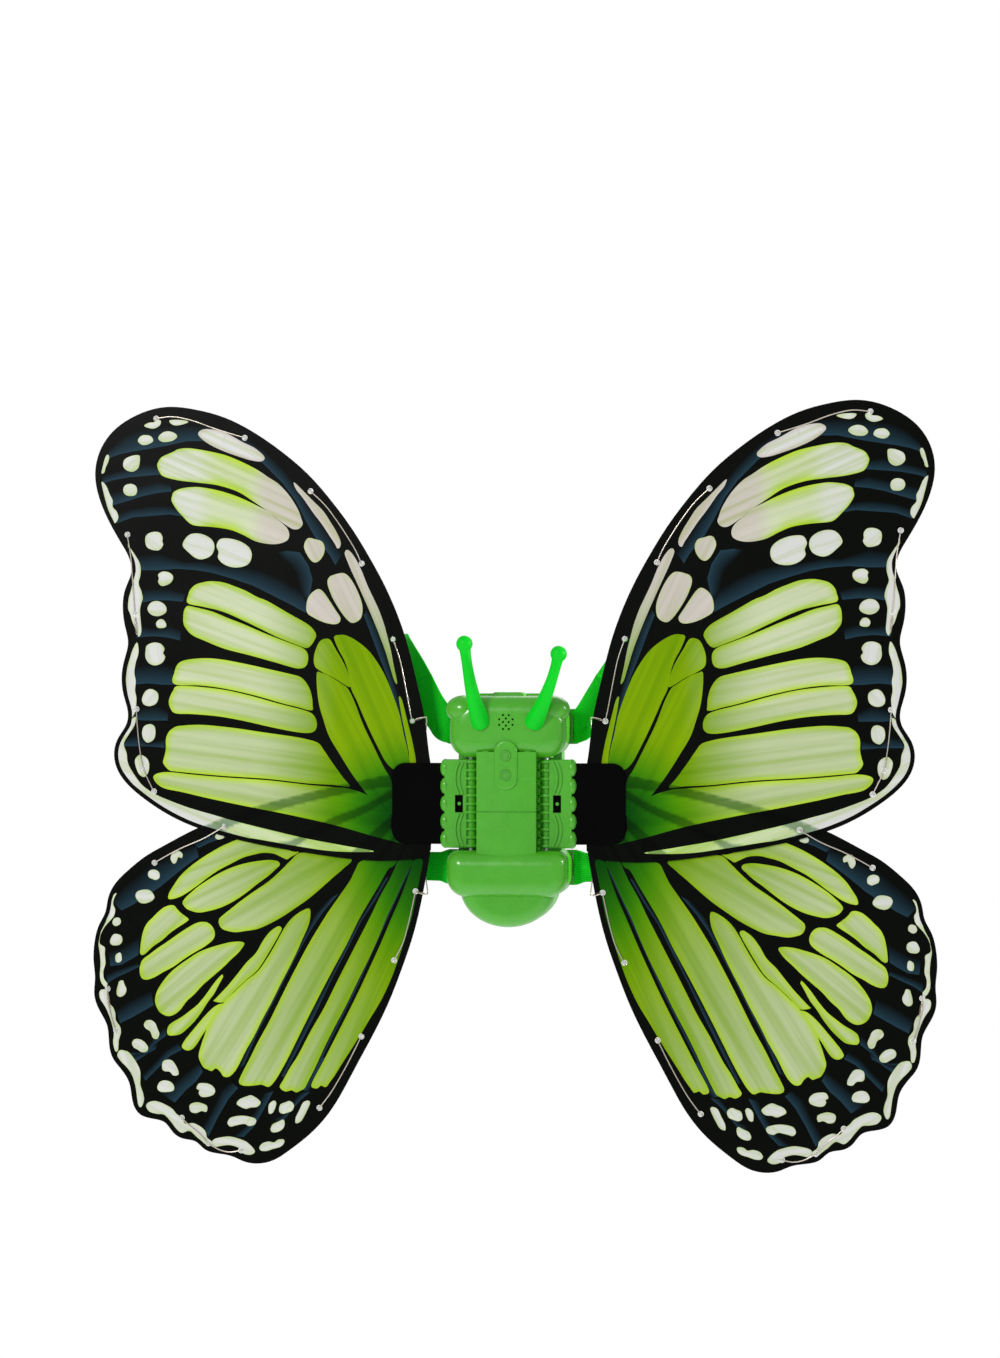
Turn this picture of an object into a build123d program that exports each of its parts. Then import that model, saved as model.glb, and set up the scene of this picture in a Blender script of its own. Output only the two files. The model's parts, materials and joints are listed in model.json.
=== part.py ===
"""Wearable flapping butterfly wings: a moulded bug-shaped drive unit that is worn on the back.

Frame, in millimetres: the origin is the middle of the flat back face that rests on the wearer, +Z is up,
+Y points to the wearer and -Y to whoever sees the wings. Each wing pair turns about an upright hinge pin
beside the middle panel. A motor in the tail drives a crank through three gear pairs, the crank moves a
double-sided rack to and fro, and the rack turns a toothed sector on each hinge pin.
"""
from build123d import *
import math
import os

# ---------------------------------------------------------------- driving dimensions
WALL = 2.0                  # moulded wall of the case
SPLIT_Y = -19.0             # joint plane of the rear and front covers
HEAD_W, HEAD_BOTTOM, HEAD_TOP, HEAD_FRONT = 80.6, 32.0, 74.5, -46.0
PANEL_W, PANEL_EDGE, PANEL_CROWN = 41.0, -44.6, -46.6
WAIST_W = 72.0
BELLY_W, BELLY_TOP, BELLY_BOTTOM, BELLY_FRONT = 83.4, -32.0, -64.0, -50.0
TAIL_RX, TAIL_RZ, TAIL_Z, TAIL_FRONT = 33.0, 27.0, -58.0, -43.0
BASE_PLATE = 2.0            # flange of the front cover that closes the waist behind the arms
CREASE = 0.7                # depth of the seam across the middle panel
CASE_SCREWS = [(30, 62), (-30, 62), (34.5, -50), (-34.5, -50), (20, -71), (-20, -71)]

HINGE_X, HINGE_Y = 26.0, -30.0
PIN_R, BUSH_R, BUSH_BORE = 1.5, 3.0, 1.55
FLAP_BACK, FLAP_FORWARD = 8.0, 28.0     # degrees from rest

ARM_HALF_H, BARREL_R, BARREL_CORE_R, RING_PITCH = 30.5, 5.2, 3.4, 5.8
ARM_OUTER_X, ARM_INNER_X, ARM_THICK = 44.0, 28.8, 9.0
BEAD_PITCH = 12.2           # scallops along an arm's outer edge
SOCKET_THICK, SOCKET_HALF_H, SOCKET_X = 5.0, 28.4, 31.2
LATCH_X = 34.0

FILM = 0.4                  # printed wing film
CLAMP = 1.4                 # each outer plate of the wing clamp
FILM_GAP = 1.0              # shim between the upper and lower film
TAB_X0, TAB_X1, TAB_HALF_H, TAB_R = 31.6, 81.0, 28.0, 9.0
ROOT_U = 54.0               # where both films end inside the clamp
UPPER_Y = HINGE_Y - FILM_GAP / 2        # rear face of the upper film
LOWER_Y = HINGE_Y + FILM_GAP / 2 + FILM  # rear face of the lower film
BEAD_R, BEAD_HOLE_R, WIRE_R = 1.7, 2.0, 0.45

GEAR_M, GEAR_Z, PINION_Z = 0.5, 36, 12
GEAR_T, GEAR_GAP = 2.0, 0.4
SECTOR_M, SECTOR_Z = 1.0, 32
RACK_T, RACK_BOTTOM, RACK_LEN = 3.5, -43.5, 20.0
TOOTH_FILL, ADDENDUM, DEDENDUM = 0.86, 0.75, 1.2
SECTOR_R = SECTOR_M * SECTOR_Z / 2
CRANK_R = SECTOR_R * math.radians(FLAP_BACK + FLAP_FORWARD) / 2
CENTRE_D = GEAR_M * (GEAR_Z + PINION_Z) / 2
CRANK = (0.0, HINGE_Y)      # (x, y) of each upright gear axis
SECOND = (CENTRE_D, HINGE_Y)
FIRST = (CENTRE_D, HINGE_Y + CENTRE_D)
MOTOR = (0.0, HINGE_Y + CENTRE_D)
MOTOR_LEN = 20.0
RACK_X = HINGE_X - SECTOR_R
RACK_REST_Y = HINGE_Y - SECTOR_R * math.radians((FLAP_FORWARD - FLAP_BACK) / 2)
CRANK_TOP = RACK_BOTTOM - 1.8
LEVELS = [CRANK_TOP - GEAR_T - i * (GEAR_T + GEAR_GAP) for i in range(3)]   # bottom of crank, second, first gear
FRAME_TOP = LEVELS[2] - 0.5
GUIDE_POSTS = [(13.2, -43.6), (-13.2, -43.6), (13.2, -6.5), (-13.2, -6.5)]

BAY_W, BAY_H, DOOR_T = 47.0, 59.0, 1.7
DOOR_SCREW_Z, DOOR_GAP = 34.5, 0.15
CELL_R, CELL_HALF, CELL_X, CELL_Y, CELL_SHIFT = 7.05, 24.6, (-15, 0, 15), -9.7, 1.6

STRAP_W, STRAP_T = 20.0, 1.3
EAR_Z = (53.0, -45.0)       # middle height of each strap slot
EAR_H, EAR_X0, EAR_X1, EAR_Y0, EAR_Y1 = 24.4, 38.0, 47.2, -6.5, -2.5
SLOT_X0, SLOT_X1 = 42.2, 44.8

EYE_X, EYE_Y, EYE_Z = 30.6, -35.0, 65.0
ANTENNA_Z = 56.0
ANTENNAE = [(-17.5, (-26.5, -62, 110)), (19.0, (38, -62, 103))]     # base x and the ball's middle
BUTTON_Z = (33.5, 20.0)
PAD_RISE = 1.6              # height of the oval pad round the buttons
SPEAKER_Z, SPEAKER_R = 56.5, 11.0
GRILLE = [(x, z) for x in (-2, 2) for z in (-4.75, 0, 4.75)] + [(0, 2.4), (0, -2.4)]
GRILLE += [(x, z) for x in (-4.6, 4.6) for z in (-1.9, 1.9)]
BOARD_Y = -37.5             # front face of the control board
BOARD_POSTS = [(14.5, 36), (-14.5, 36), (14.5, 11), (-14.5, 11)]

# ---------------------------------------------------------------- wing outlines, (outward, up)
UPPER_EDGE = [
    (ROOT_U, 26), (56.5, 44), (58.5, 60), (61.5, 74), (66, 93), (71, 112), (78, 132), (87, 152), (98, 172),
    (108.5, 189), (122.5, 208), (140, 228), (158, 243.5), (179, 258), (200, 268.5), (220, 274), (241, 276),
    (264, 269.5), (281, 257), (289.5, 242), (291.5, 228), (289, 214), (283, 199), (273.5, 182), (267, 170),
    (265.5, 162), (270, 149), (271.8, 137), (270, 122), (268, 111.5), (270.8, 99), (272.6, 87), (271, 74),
    (268, 61), (269, 55), (275.5, 44), (278, 34), (276, 23.5), (269, 13), (257.5, 3), (241.5, -7.5), (225, -15.5),
    (207, -21.5), (176, -29), (140, -35), (105, -39.3), (87, -40), (70, -39), (59, -36.5), (ROOT_U, -32),
]
LOWER_EDGE = [
    (ROOT_U, 24), (80, 21), (105, 16), (137, 8.5), (174, -1), (205, -12), (229, -23), (242, -30), (256, -38),
    (268.5, -48), (278.5, -58.5), (283, -69), (284.5, -77), (289, -86), (292.3, -98), (293, -112), (292, -124),
    (292.6, -134), (289.4, -145), (283.4, -156.5), (282, -168.5), (279.5, -179), (272.6, -188), (267.4, -197),
    (265, -210), (260.5, -218), (250.5, -221.5), (242, -224), (236, -231), (229, -235), (220, -237), (214, -242),
    (204, -245), (193.5, -247), (186.5, -250), (176, -251.5), (165, -249), (154.5, -242.5), (140.5, -231.5),
    (129.7, -220.5), (121, -208.5), (108.5, -186), (96, -163), (83.5, -137.5), (74.7, -115), (67.6, -94.5),
    (62.2, -74), (58, -53), (55.4, -38), (ROOT_U, -28),
]
UPPER_BEADS = [(248, 268), (185, 254), (138.5, 216.5), (102.5, 166), (80.5, 113.5), (67, 57), (268.5, 187),
               (263, 132), (262, 65), (257.5, 23.5), (249.5, 7.5)]
LOWER_BEADS = [(200, -17), (249.5, -42.5), (283, -131), (277, -160), (230, -220.5), (211, -238), (188, -242.5),
               (132.5, -212), (103, -162), (80, -109), (65, -61)]
SHARED_BEAD = LOWER_BEADS[0]
RIVETS = [(60, 20), (60, -21), (74, 0)]

# Each run of light wire between two beads, as (outward, up) points, and the film face it lies on.
FRONT_UPPER = [
    [(248, 268), (236, 269.6), (222, 266.5), (205, 260), (185, 254)],
    [(138.5, 216.5), (128, 207), (117, 192), (107, 176), (102.5, 166)],
    [(80.5, 113.5), (75.5, 100), (72, 82), (69, 66), (67, 57)],
    [(268.5, 187), (265.8, 172), (264.5, 153), (263, 132)],
    [(262, 65), (260.8, 46), (257.5, 23.5), (249.5, 7.5)],
]
BACK_UPPER = [
    [(185, 254), (171, 246), (155, 233), (138.5, 216.5)],
    [(102.5, 166), (95, 151), (87, 132), (80.5, 113.5)],
    [(248, 268), (262, 259), (275, 243), (279, 224), (274, 203), (268.5, 187)],
    [(263, 132), (263.5, 112), (265, 90), (262, 65)],
]
FRONT_LOWER = [
    [(283, -131), (282.4, -140), (280.3, -150), (277, -160)],
    [(230, -220.5), (224, -226), (217, -231), (211, -238)],
    [(211, -238), (203, -242.5), (195.5, -244), (188, -242.5)],
    [(132.5, -212), (124, -201), (113, -182), (103, -162)],
    [(80, -109), (73.5, -97), (69, -80), (65, -61)],
]
BACK_LOWER = [
    [(249.5, -42.5), (266, -58), (275, -78), (284, -104), (283, -131)],
    [(277, -160), (273, -180), (259, -203), (245, -214), (230, -220.5)],
    [(188, -242.5), (170, -241), (150, -229), (132.5, -212)],
    [(103, -162), (94, -144), (86, -126), (80, -109)],
]

# The left shoulder strap's middle line as (x, y, z) with the direction its outer face looks. Both ends are
# folded round the outer bar of a lug on the rear cover.
STRAP_ROUTE = [
    ((-43.5, -4, 53), (1, 0, 0)), ((-43.4, -6.9, 53), (1, -0.4, 0)), ((-45.2, -8.1, 53), (0.45, -1, 0)),
    ((-48.7, -8.4, 55), (0, -1, 0)), ((-54, -7.2, 62), (-0.1, -1, 0)), ((-61.5, -2.8, 75), (-0.1, -1, 0.1)),
    ((-71, 3.5, 91), (-0.1, -1, 0.3)), ((-80, 12, 104), (-0.1, -0.9, 0.7)), ((-87, 25, 113.5), (-0.1, -0.4, 1)),
    ((-91, 43, 117), (-0.1, 0, 1)), ((-93, 64, 115), (-0.1, 0.3, 1)), ((-93.5, 84, 108), (-0.1, 0.7, 0.8)),
    ((-94, 100, 94), (-0.1, 1, 0.4)), ((-94, 110, 72), (-0.15, 1, 0.2)), ((-95, 115, 44), (-0.2, 1, 0)),
    ((-97, 115, 16), (-0.35, 1, 0)), ((-102, 109, -10), (-0.7, 1, -0.1)), ((-109, 96, -30), (-1, 0.7, -0.1)),
    ((-115, 76, -41), (-1, 0.3, 0)), ((-115, 54, -44.5), (-1, -0.1, 0)), ((-107, 33, -45), (-1, -0.6, 0)),
    ((-93, 16, -45), (-0.7, -1, 0)), ((-76, 4, -45), (-0.3, -1, 0)), ((-62, -3, -45), (-0.2, -1, 0)),
    ((-53.5, -6.2, -45), (-0.2, -1, 0)), ((-48.7, -7.9, -45), (-0.1, -1, 0)), ((-45.2, -8.1, -45), (0.45, -1, 0)),
    ((-43.4, -6.9, -45), (1, -0.4, 0)), ((-43.5, -4, -45), (1, 0, 0)),
]


# ---------------------------------------------------------------- helpers
def slab(sketch, y_back, y_front):
    """A sketch drawn as (x, z), made solid from y_back forward to y_front."""
    plane = Plane(origin=(0, y_back, 0), x_dir=(1, 0, 0), z_dir=(0, -1, 0))
    return extrude(plane * sketch, amount=y_back - y_front)


def block(x0, x1, y0, y1, z0, z1):
    """An axis-aligned box between two corners."""
    return Pos((x0 + x1) / 2, (y0 + y1) / 2, (z0 + z1) / 2) * Box(abs(x1 - x0), abs(y1 - y0), abs(z1 - z0))


def rod_y(x, z, r, y0, y1):
    """A round bar along Y."""
    return Pos(x, (y0 + y1) / 2, z) * Rot(90, 0, 0) * Cylinder(r, abs(y1 - y0))


def rod_z(x, y, r, z0, z1):
    """A round bar along Z."""
    return Pos(x, y, (z0 + z1) / 2) * Cylinder(r, abs(z1 - z0))


def front_edges(solid, y):
    """The edges that lie in the plane at y."""
    return solid.edges().filter_by_position(Axis.Y, y - 0.01, y + 0.01)


def mirrored(shape):
    """The right-hand twin of a left-hand shape, or the other way round."""
    return mirror(shape, about=Plane.YZ)


def save(name, *shapes):
    """Writes one node, as one solid or as a group of separate solids."""
    solids = [s for shape in shapes for s in shape.solids()]
    export_step(solids[0] if len(solids) == 1 else Compound(children=solids), f"parts/{name}.step")


def save_pair(name, *left_shapes):
    """Writes a left node and its mirrored right twin."""
    save(f"{name}_left", *left_shapes)
    save(f"{name}_right", *[mirrored(s) for s in left_shapes])


# ---------------------------------------------------------------- case outlines
def head_face(inset=0.0, top=HEAD_TOP):
    """The head's rounded front view."""
    height = top - HEAD_BOTTOM - 2 * inset
    face = Pos(0, (top + HEAD_BOTTOM) / 2) * Rectangle(HEAD_W - 2 * inset, height)
    corners = face.vertices().sort_by(Axis.Y)
    face = fillet(corners[-2:], 19 - inset)
    return fillet(face.vertices().sort_by(Axis.Y)[:2], 14 - inset)


def belly_face(inset=0.0):
    """The wide first tail segment's front view."""
    width, height = BELLY_W - 2 * inset, BELLY_TOP - BELLY_BOTTOM - 2 * inset
    face = Pos(0, (BELLY_TOP + BELLY_BOTTOM) / 2) * Rectangle(width, height)
    corners = face.vertices().sort_by(Axis.Y)
    face = fillet(corners[-2:], 8 - inset)
    return fillet(face.vertices().sort_by(Axis.Y)[:2], 14 - inset)


def tail_face(inset=0.0):
    """The small last tail segment's front view."""
    return Pos(0, TAIL_Z) * Ellipse(TAIL_RX - inset, TAIL_RZ - inset)


def case_face(inset=0.0):
    """The whole case's outline, as the rear cover has it."""
    waist = Rectangle(WAIST_W - 2 * inset, HEAD_BOTTOM - BELLY_TOP + 20)
    return head_face(inset, HEAD_TOP + 1.5) + waist + belly_face(inset) + tail_face(inset)


def bulge(face, front, radius, y_back):
    """One soft-edged segment that stands forward of the case."""
    solid = slab(face, y_back, front)
    return fillet(front_edges(solid, front), radius)


def panel(inset=0.0, y_back=SPLIT_Y):
    """The gently crowned middle panel that joins head and belly."""
    half, top = PANEL_W / 2 - inset, 36
    outline = Line((-half, y_back), (-half, PANEL_EDGE + inset))
    outline += ThreePointArc((-half, PANEL_EDGE + inset), (0, PANEL_CROWN + inset), (half, PANEL_EDGE + inset))
    outline += Line((half, PANEL_EDGE + inset), (half, y_back)) + Line((half, y_back), (-half, y_back))
    return Pos(0, 0, -top) * extrude(make_face(outline), amount=2 * top)


def front_body(inset, y_back):
    """The front cover's outside at inset 0, and its hollow at the wall's inset."""
    body = bulge(head_face(inset), HEAD_FRONT + inset, 12 - inset, y_back)
    body += bulge(belly_face(inset), BELLY_FRONT + inset, 11 - inset, y_back)
    body += bulge(tail_face(inset), TAIL_FRONT + inset, 10 - inset, y_back)
    return body + panel(inset, y_back)


def button_pad():
    """The raised oval island round the two buttons."""
    island = slab(Pos(0, 27) * SlotCenterToCenter(18, 16, 90), PANEL_EDGE + 2, PANEL_CROWN - PAD_RISE)
    return fillet(front_edges(island, PANEL_CROWN - PAD_RISE), PAD_RISE - 0.1)


def crest():
    """The low crest on top of the head, between the eyes."""
    ridge = slab(Pos(0, HEAD_TOP - 1) * SlotOverall(24, 7), SPLIT_Y - BASE_PLATE, HEAD_FRONT + 13)
    return fillet(front_edges(ridge, HEAD_FRONT + 13), 2.5)


def antenna_sockets(radius):
    """Bars through the head where the two antennae plug in."""
    return [rod_y(x, ANTENNA_Z, radius, HEAD_FRONT - 3, HEAD_FRONT + 6) for x, _ in ANTENNAE]


def front_cover():
    """The one-piece bug-shaped front moulding."""
    body = slab(case_face(), SPLIT_Y, SPLIT_Y - BASE_PLATE) + front_body(0, SPLIT_Y) + button_pad() + crest()
    body -= front_body(WALL, SPLIT_Y + 1)
    crease = (panel(0) - panel(CREASE)) & block(-PANEL_W, PANEL_W, PANEL_CROWN - 1, SPLIT_Y - 10, -5.4, -4.8)
    core = front_body(WALL / 2, SPLIT_Y)
    bosses = [rod_y(x, z, 3.6, SPLIT_Y, BELLY_FRONT) & core for x, z in CASE_SCREWS]
    seats = []
    for x in (-HINGE_X, HINGE_X):
        seats.append(rod_z(x, HINGE_Y, 5.2, 32, 38))
        seats.append(rod_z(x, HINGE_Y, 5.2, -36, -32))
    ring = slab(Pos(0, SPEAKER_Z) * (Circle(SPEAKER_R + 1.4) - Circle(SPEAKER_R + 0.2)), HEAD_FRONT + 9,
                HEAD_FRONT + 1.5)
    posts = [rod_y(x, z, 2.0, BOARD_Y, PANEL_EDGE + 1) + rod_y(x, z, 1.0, BOARD_Y + 2.2, BOARD_Y - 0.1)
             for x, z in BOARD_POSTS]
    for extra in (*bosses, *seats, *posts, ring):
        body += extra
    body -= crease
    for x, z in CASE_SCREWS:
        body -= rod_y(x, z, 1.4, SPLIT_Y + 1, SPLIT_Y - 15)
    for x in (-HINGE_X, HINGE_X):
        body -= rod_z(x, HINGE_Y, BUSH_R, 31, 40)
        body -= rod_z(x, HINGE_Y, BUSH_R, -40, -31)
    for x, z in GRILLE:
        body -= rod_y(x, SPEAKER_Z + z, 0.75, HEAD_FRONT - 3, HEAD_FRONT + 6)
    for z in BUTTON_Z:
        body -= rod_y(0, z, 3.8, PANEL_CROWN - 3, PANEL_CROWN + 6)
        body -= rod_y(0, z, 5.2, PANEL_CROWN + 1.4, PANEL_CROWN + 6)
    for socket in antenna_sockets(3.0):
        body -= socket
    return body


# ---------------------------------------------------------------- rear cover and battery bay
def strap_ear(z, side):
    """A lug with an upright slot that a strap threads through."""
    lug = block(side * EAR_X0, side * EAR_X1, EAR_Y0, EAR_Y1, z - EAR_H / 2, z + EAR_H / 2)
    lug = fillet(lug.edges().filter_by(Axis.Y).sort_by(Axis.X)[-2 if side > 0 else 0:][:2], 3)
    return lug


def strap_slot(z, side):
    """The slot in one lug."""
    half = STRAP_W / 2 + 0.7
    return block(side * SLOT_X0, side * SLOT_X1, EAR_Y0 - 1, EAR_Y1 + 1, z - half, z + half)


def rear_cover():
    """The tray that rests on the wearer's back, with the battery bay and the strap lugs."""
    tray = slab(case_face(), 0, SPLIT_Y)
    tray = fillet(front_edges(tray, 0), 2.5)
    tray -= slab(case_face(WALL), -WALL, SPLIT_Y - 1)
    bay = slab(Rectangle(BAY_W + 3, BAY_H + 3), -0.5, SPLIT_Y + 0.5)
    ledge = slab(Rectangle(BAY_W + 6, BAY_H + 20), -WALL + 0.5, -DOOR_T - 2)
    tray += bay + ledge
    tray -= slab(Rectangle(BAY_W, BAY_H), 1, SPLIT_Y + 2)
    tray -= slab(door_face(DOOR_GAP), 1, -DOOR_T - 0.1)
    for x, z in CASE_SCREWS:
        tray += rod_y(x, z, 4.6, -1, SPLIT_Y)
        tray -= rod_y(x, z, 3.2, 1, -10)
        tray -= rod_y(x, z, 1.6, -9, SPLIT_Y - 1)
    for z in EAR_Z:
        for side in (-1, 1):
            tray += strap_ear(z, side) - slab(case_face(WALL), 1, SPLIT_Y)
            tray -= strap_slot(z, side)
    for z0, z1 in ((FRAME_TOP, FRAME_TOP + 1.5), (FRAME_TOP - 3.5, FRAME_TOP - 2)):
        tray += block(-9, 9, -5.5, -1, z0, z1)
    tray += rod_y(0, DOOR_SCREW_Z, 3.2, -DOOR_T - 1, -9)
    return tray - rod_y(0, DOOR_SCREW_Z, 1.2, 1, -8)


def door_face(grow=0.0):
    """The battery door's outline with the tongue that takes the screw."""
    face = RectangleRounded(BAY_W + 1 + 2 * grow, BAY_H + 5 + 2 * grow, 2.5)
    return face + Pos(0, DOOR_SCREW_Z - 2) * RectangleRounded(10 + 2 * grow, 12 + 2 * grow, 2.5)


def battery_door():
    """The flush door over the cells, with a grip of four grooves and the screw's hole."""
    door = slab(door_face(), 0, -DOOR_T)
    door -= rod_y(0, DOOR_SCREW_Z, 3.0, 1, -0.9)
    door -= rod_y(0, DOOR_SCREW_Z, 1.7, 1, -DOOR_T - 1)
    for i in range(4):
        door -= slab(Pos(0, -20 - 2.2 * i) * SlotOverall(24 - 4 * i, 1.1), 1, -0.6)
    return door


def door_screw():
    """The screw that keeps the battery door shut."""
    z = DOOR_SCREW_Z
    screw = rod_y(0, z, 2.7, -0.1, -0.9) + rod_y(0, z, 1.2, -0.9, -7)
    return screw - block(-2, 2, 0.2, -0.6, z - 0.3, z + 0.3) - block(-0.3, 0.3, 0.2, -0.6, z - 2, z + 2)


def battery_cell(x, turn):
    """One round cell with its nub, head up or head down."""
    can = fillet((Cylinder(CELL_R, 2 * CELL_HALF)).edges().filter_by(GeomType.CIRCLE), 0.6)
    cell = can + Pos(0, 0, CELL_HALF) * Cylinder(2.7, 2)
    return Pos(x, CELL_Y, CELL_SHIFT * turn) * Rot(0 if turn > 0 else 180, 0, 0) * cell


def battery_contacts():
    """A dimpled plate at each cell's nub, and a coil on a plate at its flat end."""
    parts = []
    for i, x in enumerate(CELL_X):
        up = 1 if i % 2 == 0 else -1
        plates = [block(x - 5, x + 5, CELL_Y - 5, CELL_Y + 5, end * 29.05, end * 29.45) for end in (-1, 1)]
        plates[(up + 1) // 2] += rod_z(x, CELL_Y, 2.4, up * 27.3, up * 29.1)
        coil = Pos(x, CELL_Y, min(-up * 28.6, -up * 23.4)) * Helix(1.3, 5.2, 3.2)
        ring = Plane(origin=coil @ 0, z_dir=coil % 0) * Circle(0.3)
        parts += [*plates, sweep(ring, path=coil, is_frenet=True)]
    return parts


# ---------------------------------------------------------------- gears
def involute(angle):
    """The involute function."""
    return math.tan(angle) - angle


def gear_face(module, teeth, turn=0.0, keep=None, bore=1.0):
    """A spur gear's section with one tooth pointing at turn degrees. keep=(from, to) limits the teeth."""
    pitch_r, alpha = module * teeth / 2, math.radians(20)
    base_r, tip_r, root_r = pitch_r * math.cos(alpha), pitch_r + ADDENDUM * module, pitch_r - DEDENDUM * module
    half_pitch = math.pi / (2 * teeth) * TOOTH_FILL
    face = Circle(root_r)
    for i in range(teeth):
        centre = 360 * i / teeth + turn
        lean = (centre - turn + 180) % 360 - 180
        if keep and not keep[0] <= lean <= keep[1]:
            continue
        flank = [(root_r - 0.15 * module, half_pitch + 0.02)]
        for r in [max(root_r, base_r) + (tip_r - max(root_r, base_r)) * k / 4 for k in range(5)]:
            rolled = involute(math.acos(min(1, base_r / r))) - involute(alpha)
            flank.append((r, half_pitch - rolled))
        side = [(r * math.cos(a), r * math.sin(a)) for r, a in flank]
        tooth = make_face(Polyline(*side, *[(x, -y) for x, y in reversed(side)], close=True))
        face += Rot(0, 0, centre) * tooth
    return face - Circle(bore)


def rack_teeth(x, side, y_middle):
    """A row of rack teeth on one side, pointing outward."""
    pitch, half = math.pi * SECTOR_M, math.pi * SECTOR_M / 4 * TOOTH_FILL
    slope = math.tan(math.radians(20))
    tip, root = ADDENDUM * SECTOR_M, DEDENDUM * SECTOR_M
    teeth = []
    for i in range(-3, 4):
        y = HINGE_Y + pitch * (i + 0.5)
        if abs(y - y_middle) > RACK_LEN / 2 - 1.5:
            continue
        outline = [(x + side * tip, y - half + slope * tip), (x + side * tip, y + half - slope * tip),
                   (x - side * root, y + half + slope * root), (x - side * root, y - half - slope * root)]
        teeth.append(make_face(Polyline(*outline, close=True)))
    return teeth


def raised(face, centre, z, thick):
    """A gear section made solid on its own axis."""
    return Pos(centre[0], centre[1], z) * extrude(face, amount=thick)


def mesh_turn(teeth, toward):
    """The turn that puts a gap, and not a tooth, at the angle toward."""
    return toward + 180 / teeth


def drive_rack():
    """The double-sided rack with the crank's cross slot and a guide keel."""
    body = Pos(0, RACK_REST_Y) * Rectangle(2 * (RACK_X - DEDENDUM * SECTOR_M), RACK_LEN)
    for side in (-1, 1):
        for tooth in rack_teeth(side * RACK_X, side, RACK_REST_Y):
            body += tooth
    solid = Pos(0, 0, RACK_BOTTOM) * extrude(body, amount=RACK_T)
    slot = Pos(0, RACK_REST_Y, RACK_BOTTOM) * extrude(SlotOverall(2 * CRANK_R + 4.4, 3.4), amount=2.4)
    keel = block(-3, 3, RACK_REST_Y - 9, RACK_REST_Y + 9, RACK_BOTTOM + RACK_T, RACK_BOTTOM + RACK_T + 1.5)
    return solid + keel - slot


def sector_gear():
    """The left hinge pin's toothed sector."""
    face = gear_face(SECTOR_M, SECTOR_Z, 0, keep=(-45, 30), bore=PIN_R)
    wedge = make_face(Polyline((-7, -9), (4, -14), (20, -18), (20, 14), (4, 9), (-7, 7), close=True))
    return raised(face & wedge, (-HINGE_X, HINGE_Y), RACK_BOTTOM, RACK_T)


def crank_gear():
    """The last gear, with the crank pin that drives the rack."""
    lag = math.degrees(math.asin((RACK_REST_Y - HINGE_Y) / CRANK_R))
    gear = raised(gear_face(GEAR_M, GEAR_Z, mesh_turn(GEAR_Z, 0), bore=1.05), CRANK, LEVELS[0], GEAR_T)
    x, y = CRANK_R * math.cos(math.radians(lag)), HINGE_Y + CRANK_R * math.sin(math.radians(lag))
    return gear + rod_z(x, y, 1.5, CRANK_TOP - 0.1, RACK_BOTTOM - 0.3)


def compound_gear(centre, big_z, big_turn, small_turn):
    """A 36-tooth wheel with a 12-tooth pinion on top of it."""
    big = raised(gear_face(GEAR_M, GEAR_Z, big_turn, bore=1.05), centre, big_z, GEAR_T)
    small = raised(gear_face(GEAR_M, PINION_Z, small_turn, bore=1.05), centre, big_z + GEAR_T - 0.01,
                   GEAR_T + GEAR_GAP)
    return big + small


def gear_frame():
    """The plate that carries the motor, the gear pins and the posts of the rack guide."""
    plate = block(-16, 24, -45.5, -2.2, FRAME_TOP - 2, FRAME_TOP)
    plate -= rod_z(*MOTOR, 3.2, FRAME_TOP - 3, FRAME_TOP + 1)
    for centre in (CRANK, SECOND, FIRST):
        plate -= rod_z(*centre, 1.0, FRAME_TOP - 3, FRAME_TOP + 1)
    for x, y in GUIDE_POSTS:
        plate += rod_z(x, y, 1.2, FRAME_TOP - 0.1, RACK_BOTTOM + RACK_T + 0.3)
    return plate


def rack_guide():
    """The bridge over the rack, whose groove keeps it running fore and aft."""
    z0 = RACK_BOTTOM + RACK_T + 0.3
    bridge = block(-14.8, 14.8, -45.0, -5.0, z0, z0 + 2.7)
    return bridge - block(-3.2, 3.2, -46, -4, z0 - 1, z0 + 1.5)


def gear_pins():
    """Steel pins pressed into the frame plate."""
    tops = (LEVELS[0] + GEAR_T + 0.1, LEVELS[0] + GEAR_T - 0.2, LEVELS[1] + GEAR_T - 0.2)
    return [rod_z(*c, 1.0, FRAME_TOP - 2, top) for c, top in zip((CRANK, SECOND, FIRST), tops)]


def motor_can():
    """The flat-sided toy motor in the tail."""
    z1 = FRAME_TOP - 2
    can = rod_z(*MOTOR, 10, z1 - MOTOR_LEN, z1)
    can &= block(-10, 10, MOTOR[1] - 7.6, MOTOR[1] + 7.6, z1 - MOTOR_LEN, z1)
    return can + rod_z(*MOTOR, 3.1, z1 - 0.1, z1 + 1.5)


def motor_end_cap():
    """The moulded brush end of the motor, with its two terminals."""
    z1 = FRAME_TOP - 2 - MOTOR_LEN
    cap = rod_z(*MOTOR, 9.4, z1 - 2, z1) & block(-10, 10, MOTOR[1] - 7, MOTOR[1] + 7, z1 - 2, z1)
    for x in (-5, 5):
        cap += block(x - 1, x + 1, MOTOR[1] + 7, MOTOR[1] + 9.2, z1 - 1.6, z1 - 1.1)
    return cap


def motor_pinion():
    """The motor's pinion on its shaft."""
    gear = raised(gear_face(GEAR_M, PINION_Z, 0, bore=0.5), MOTOR, LEVELS[2], GEAR_T)
    return gear + rod_z(*MOTOR, 1.0, FRAME_TOP - 0.4, LEVELS[2] + 0.01)


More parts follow.
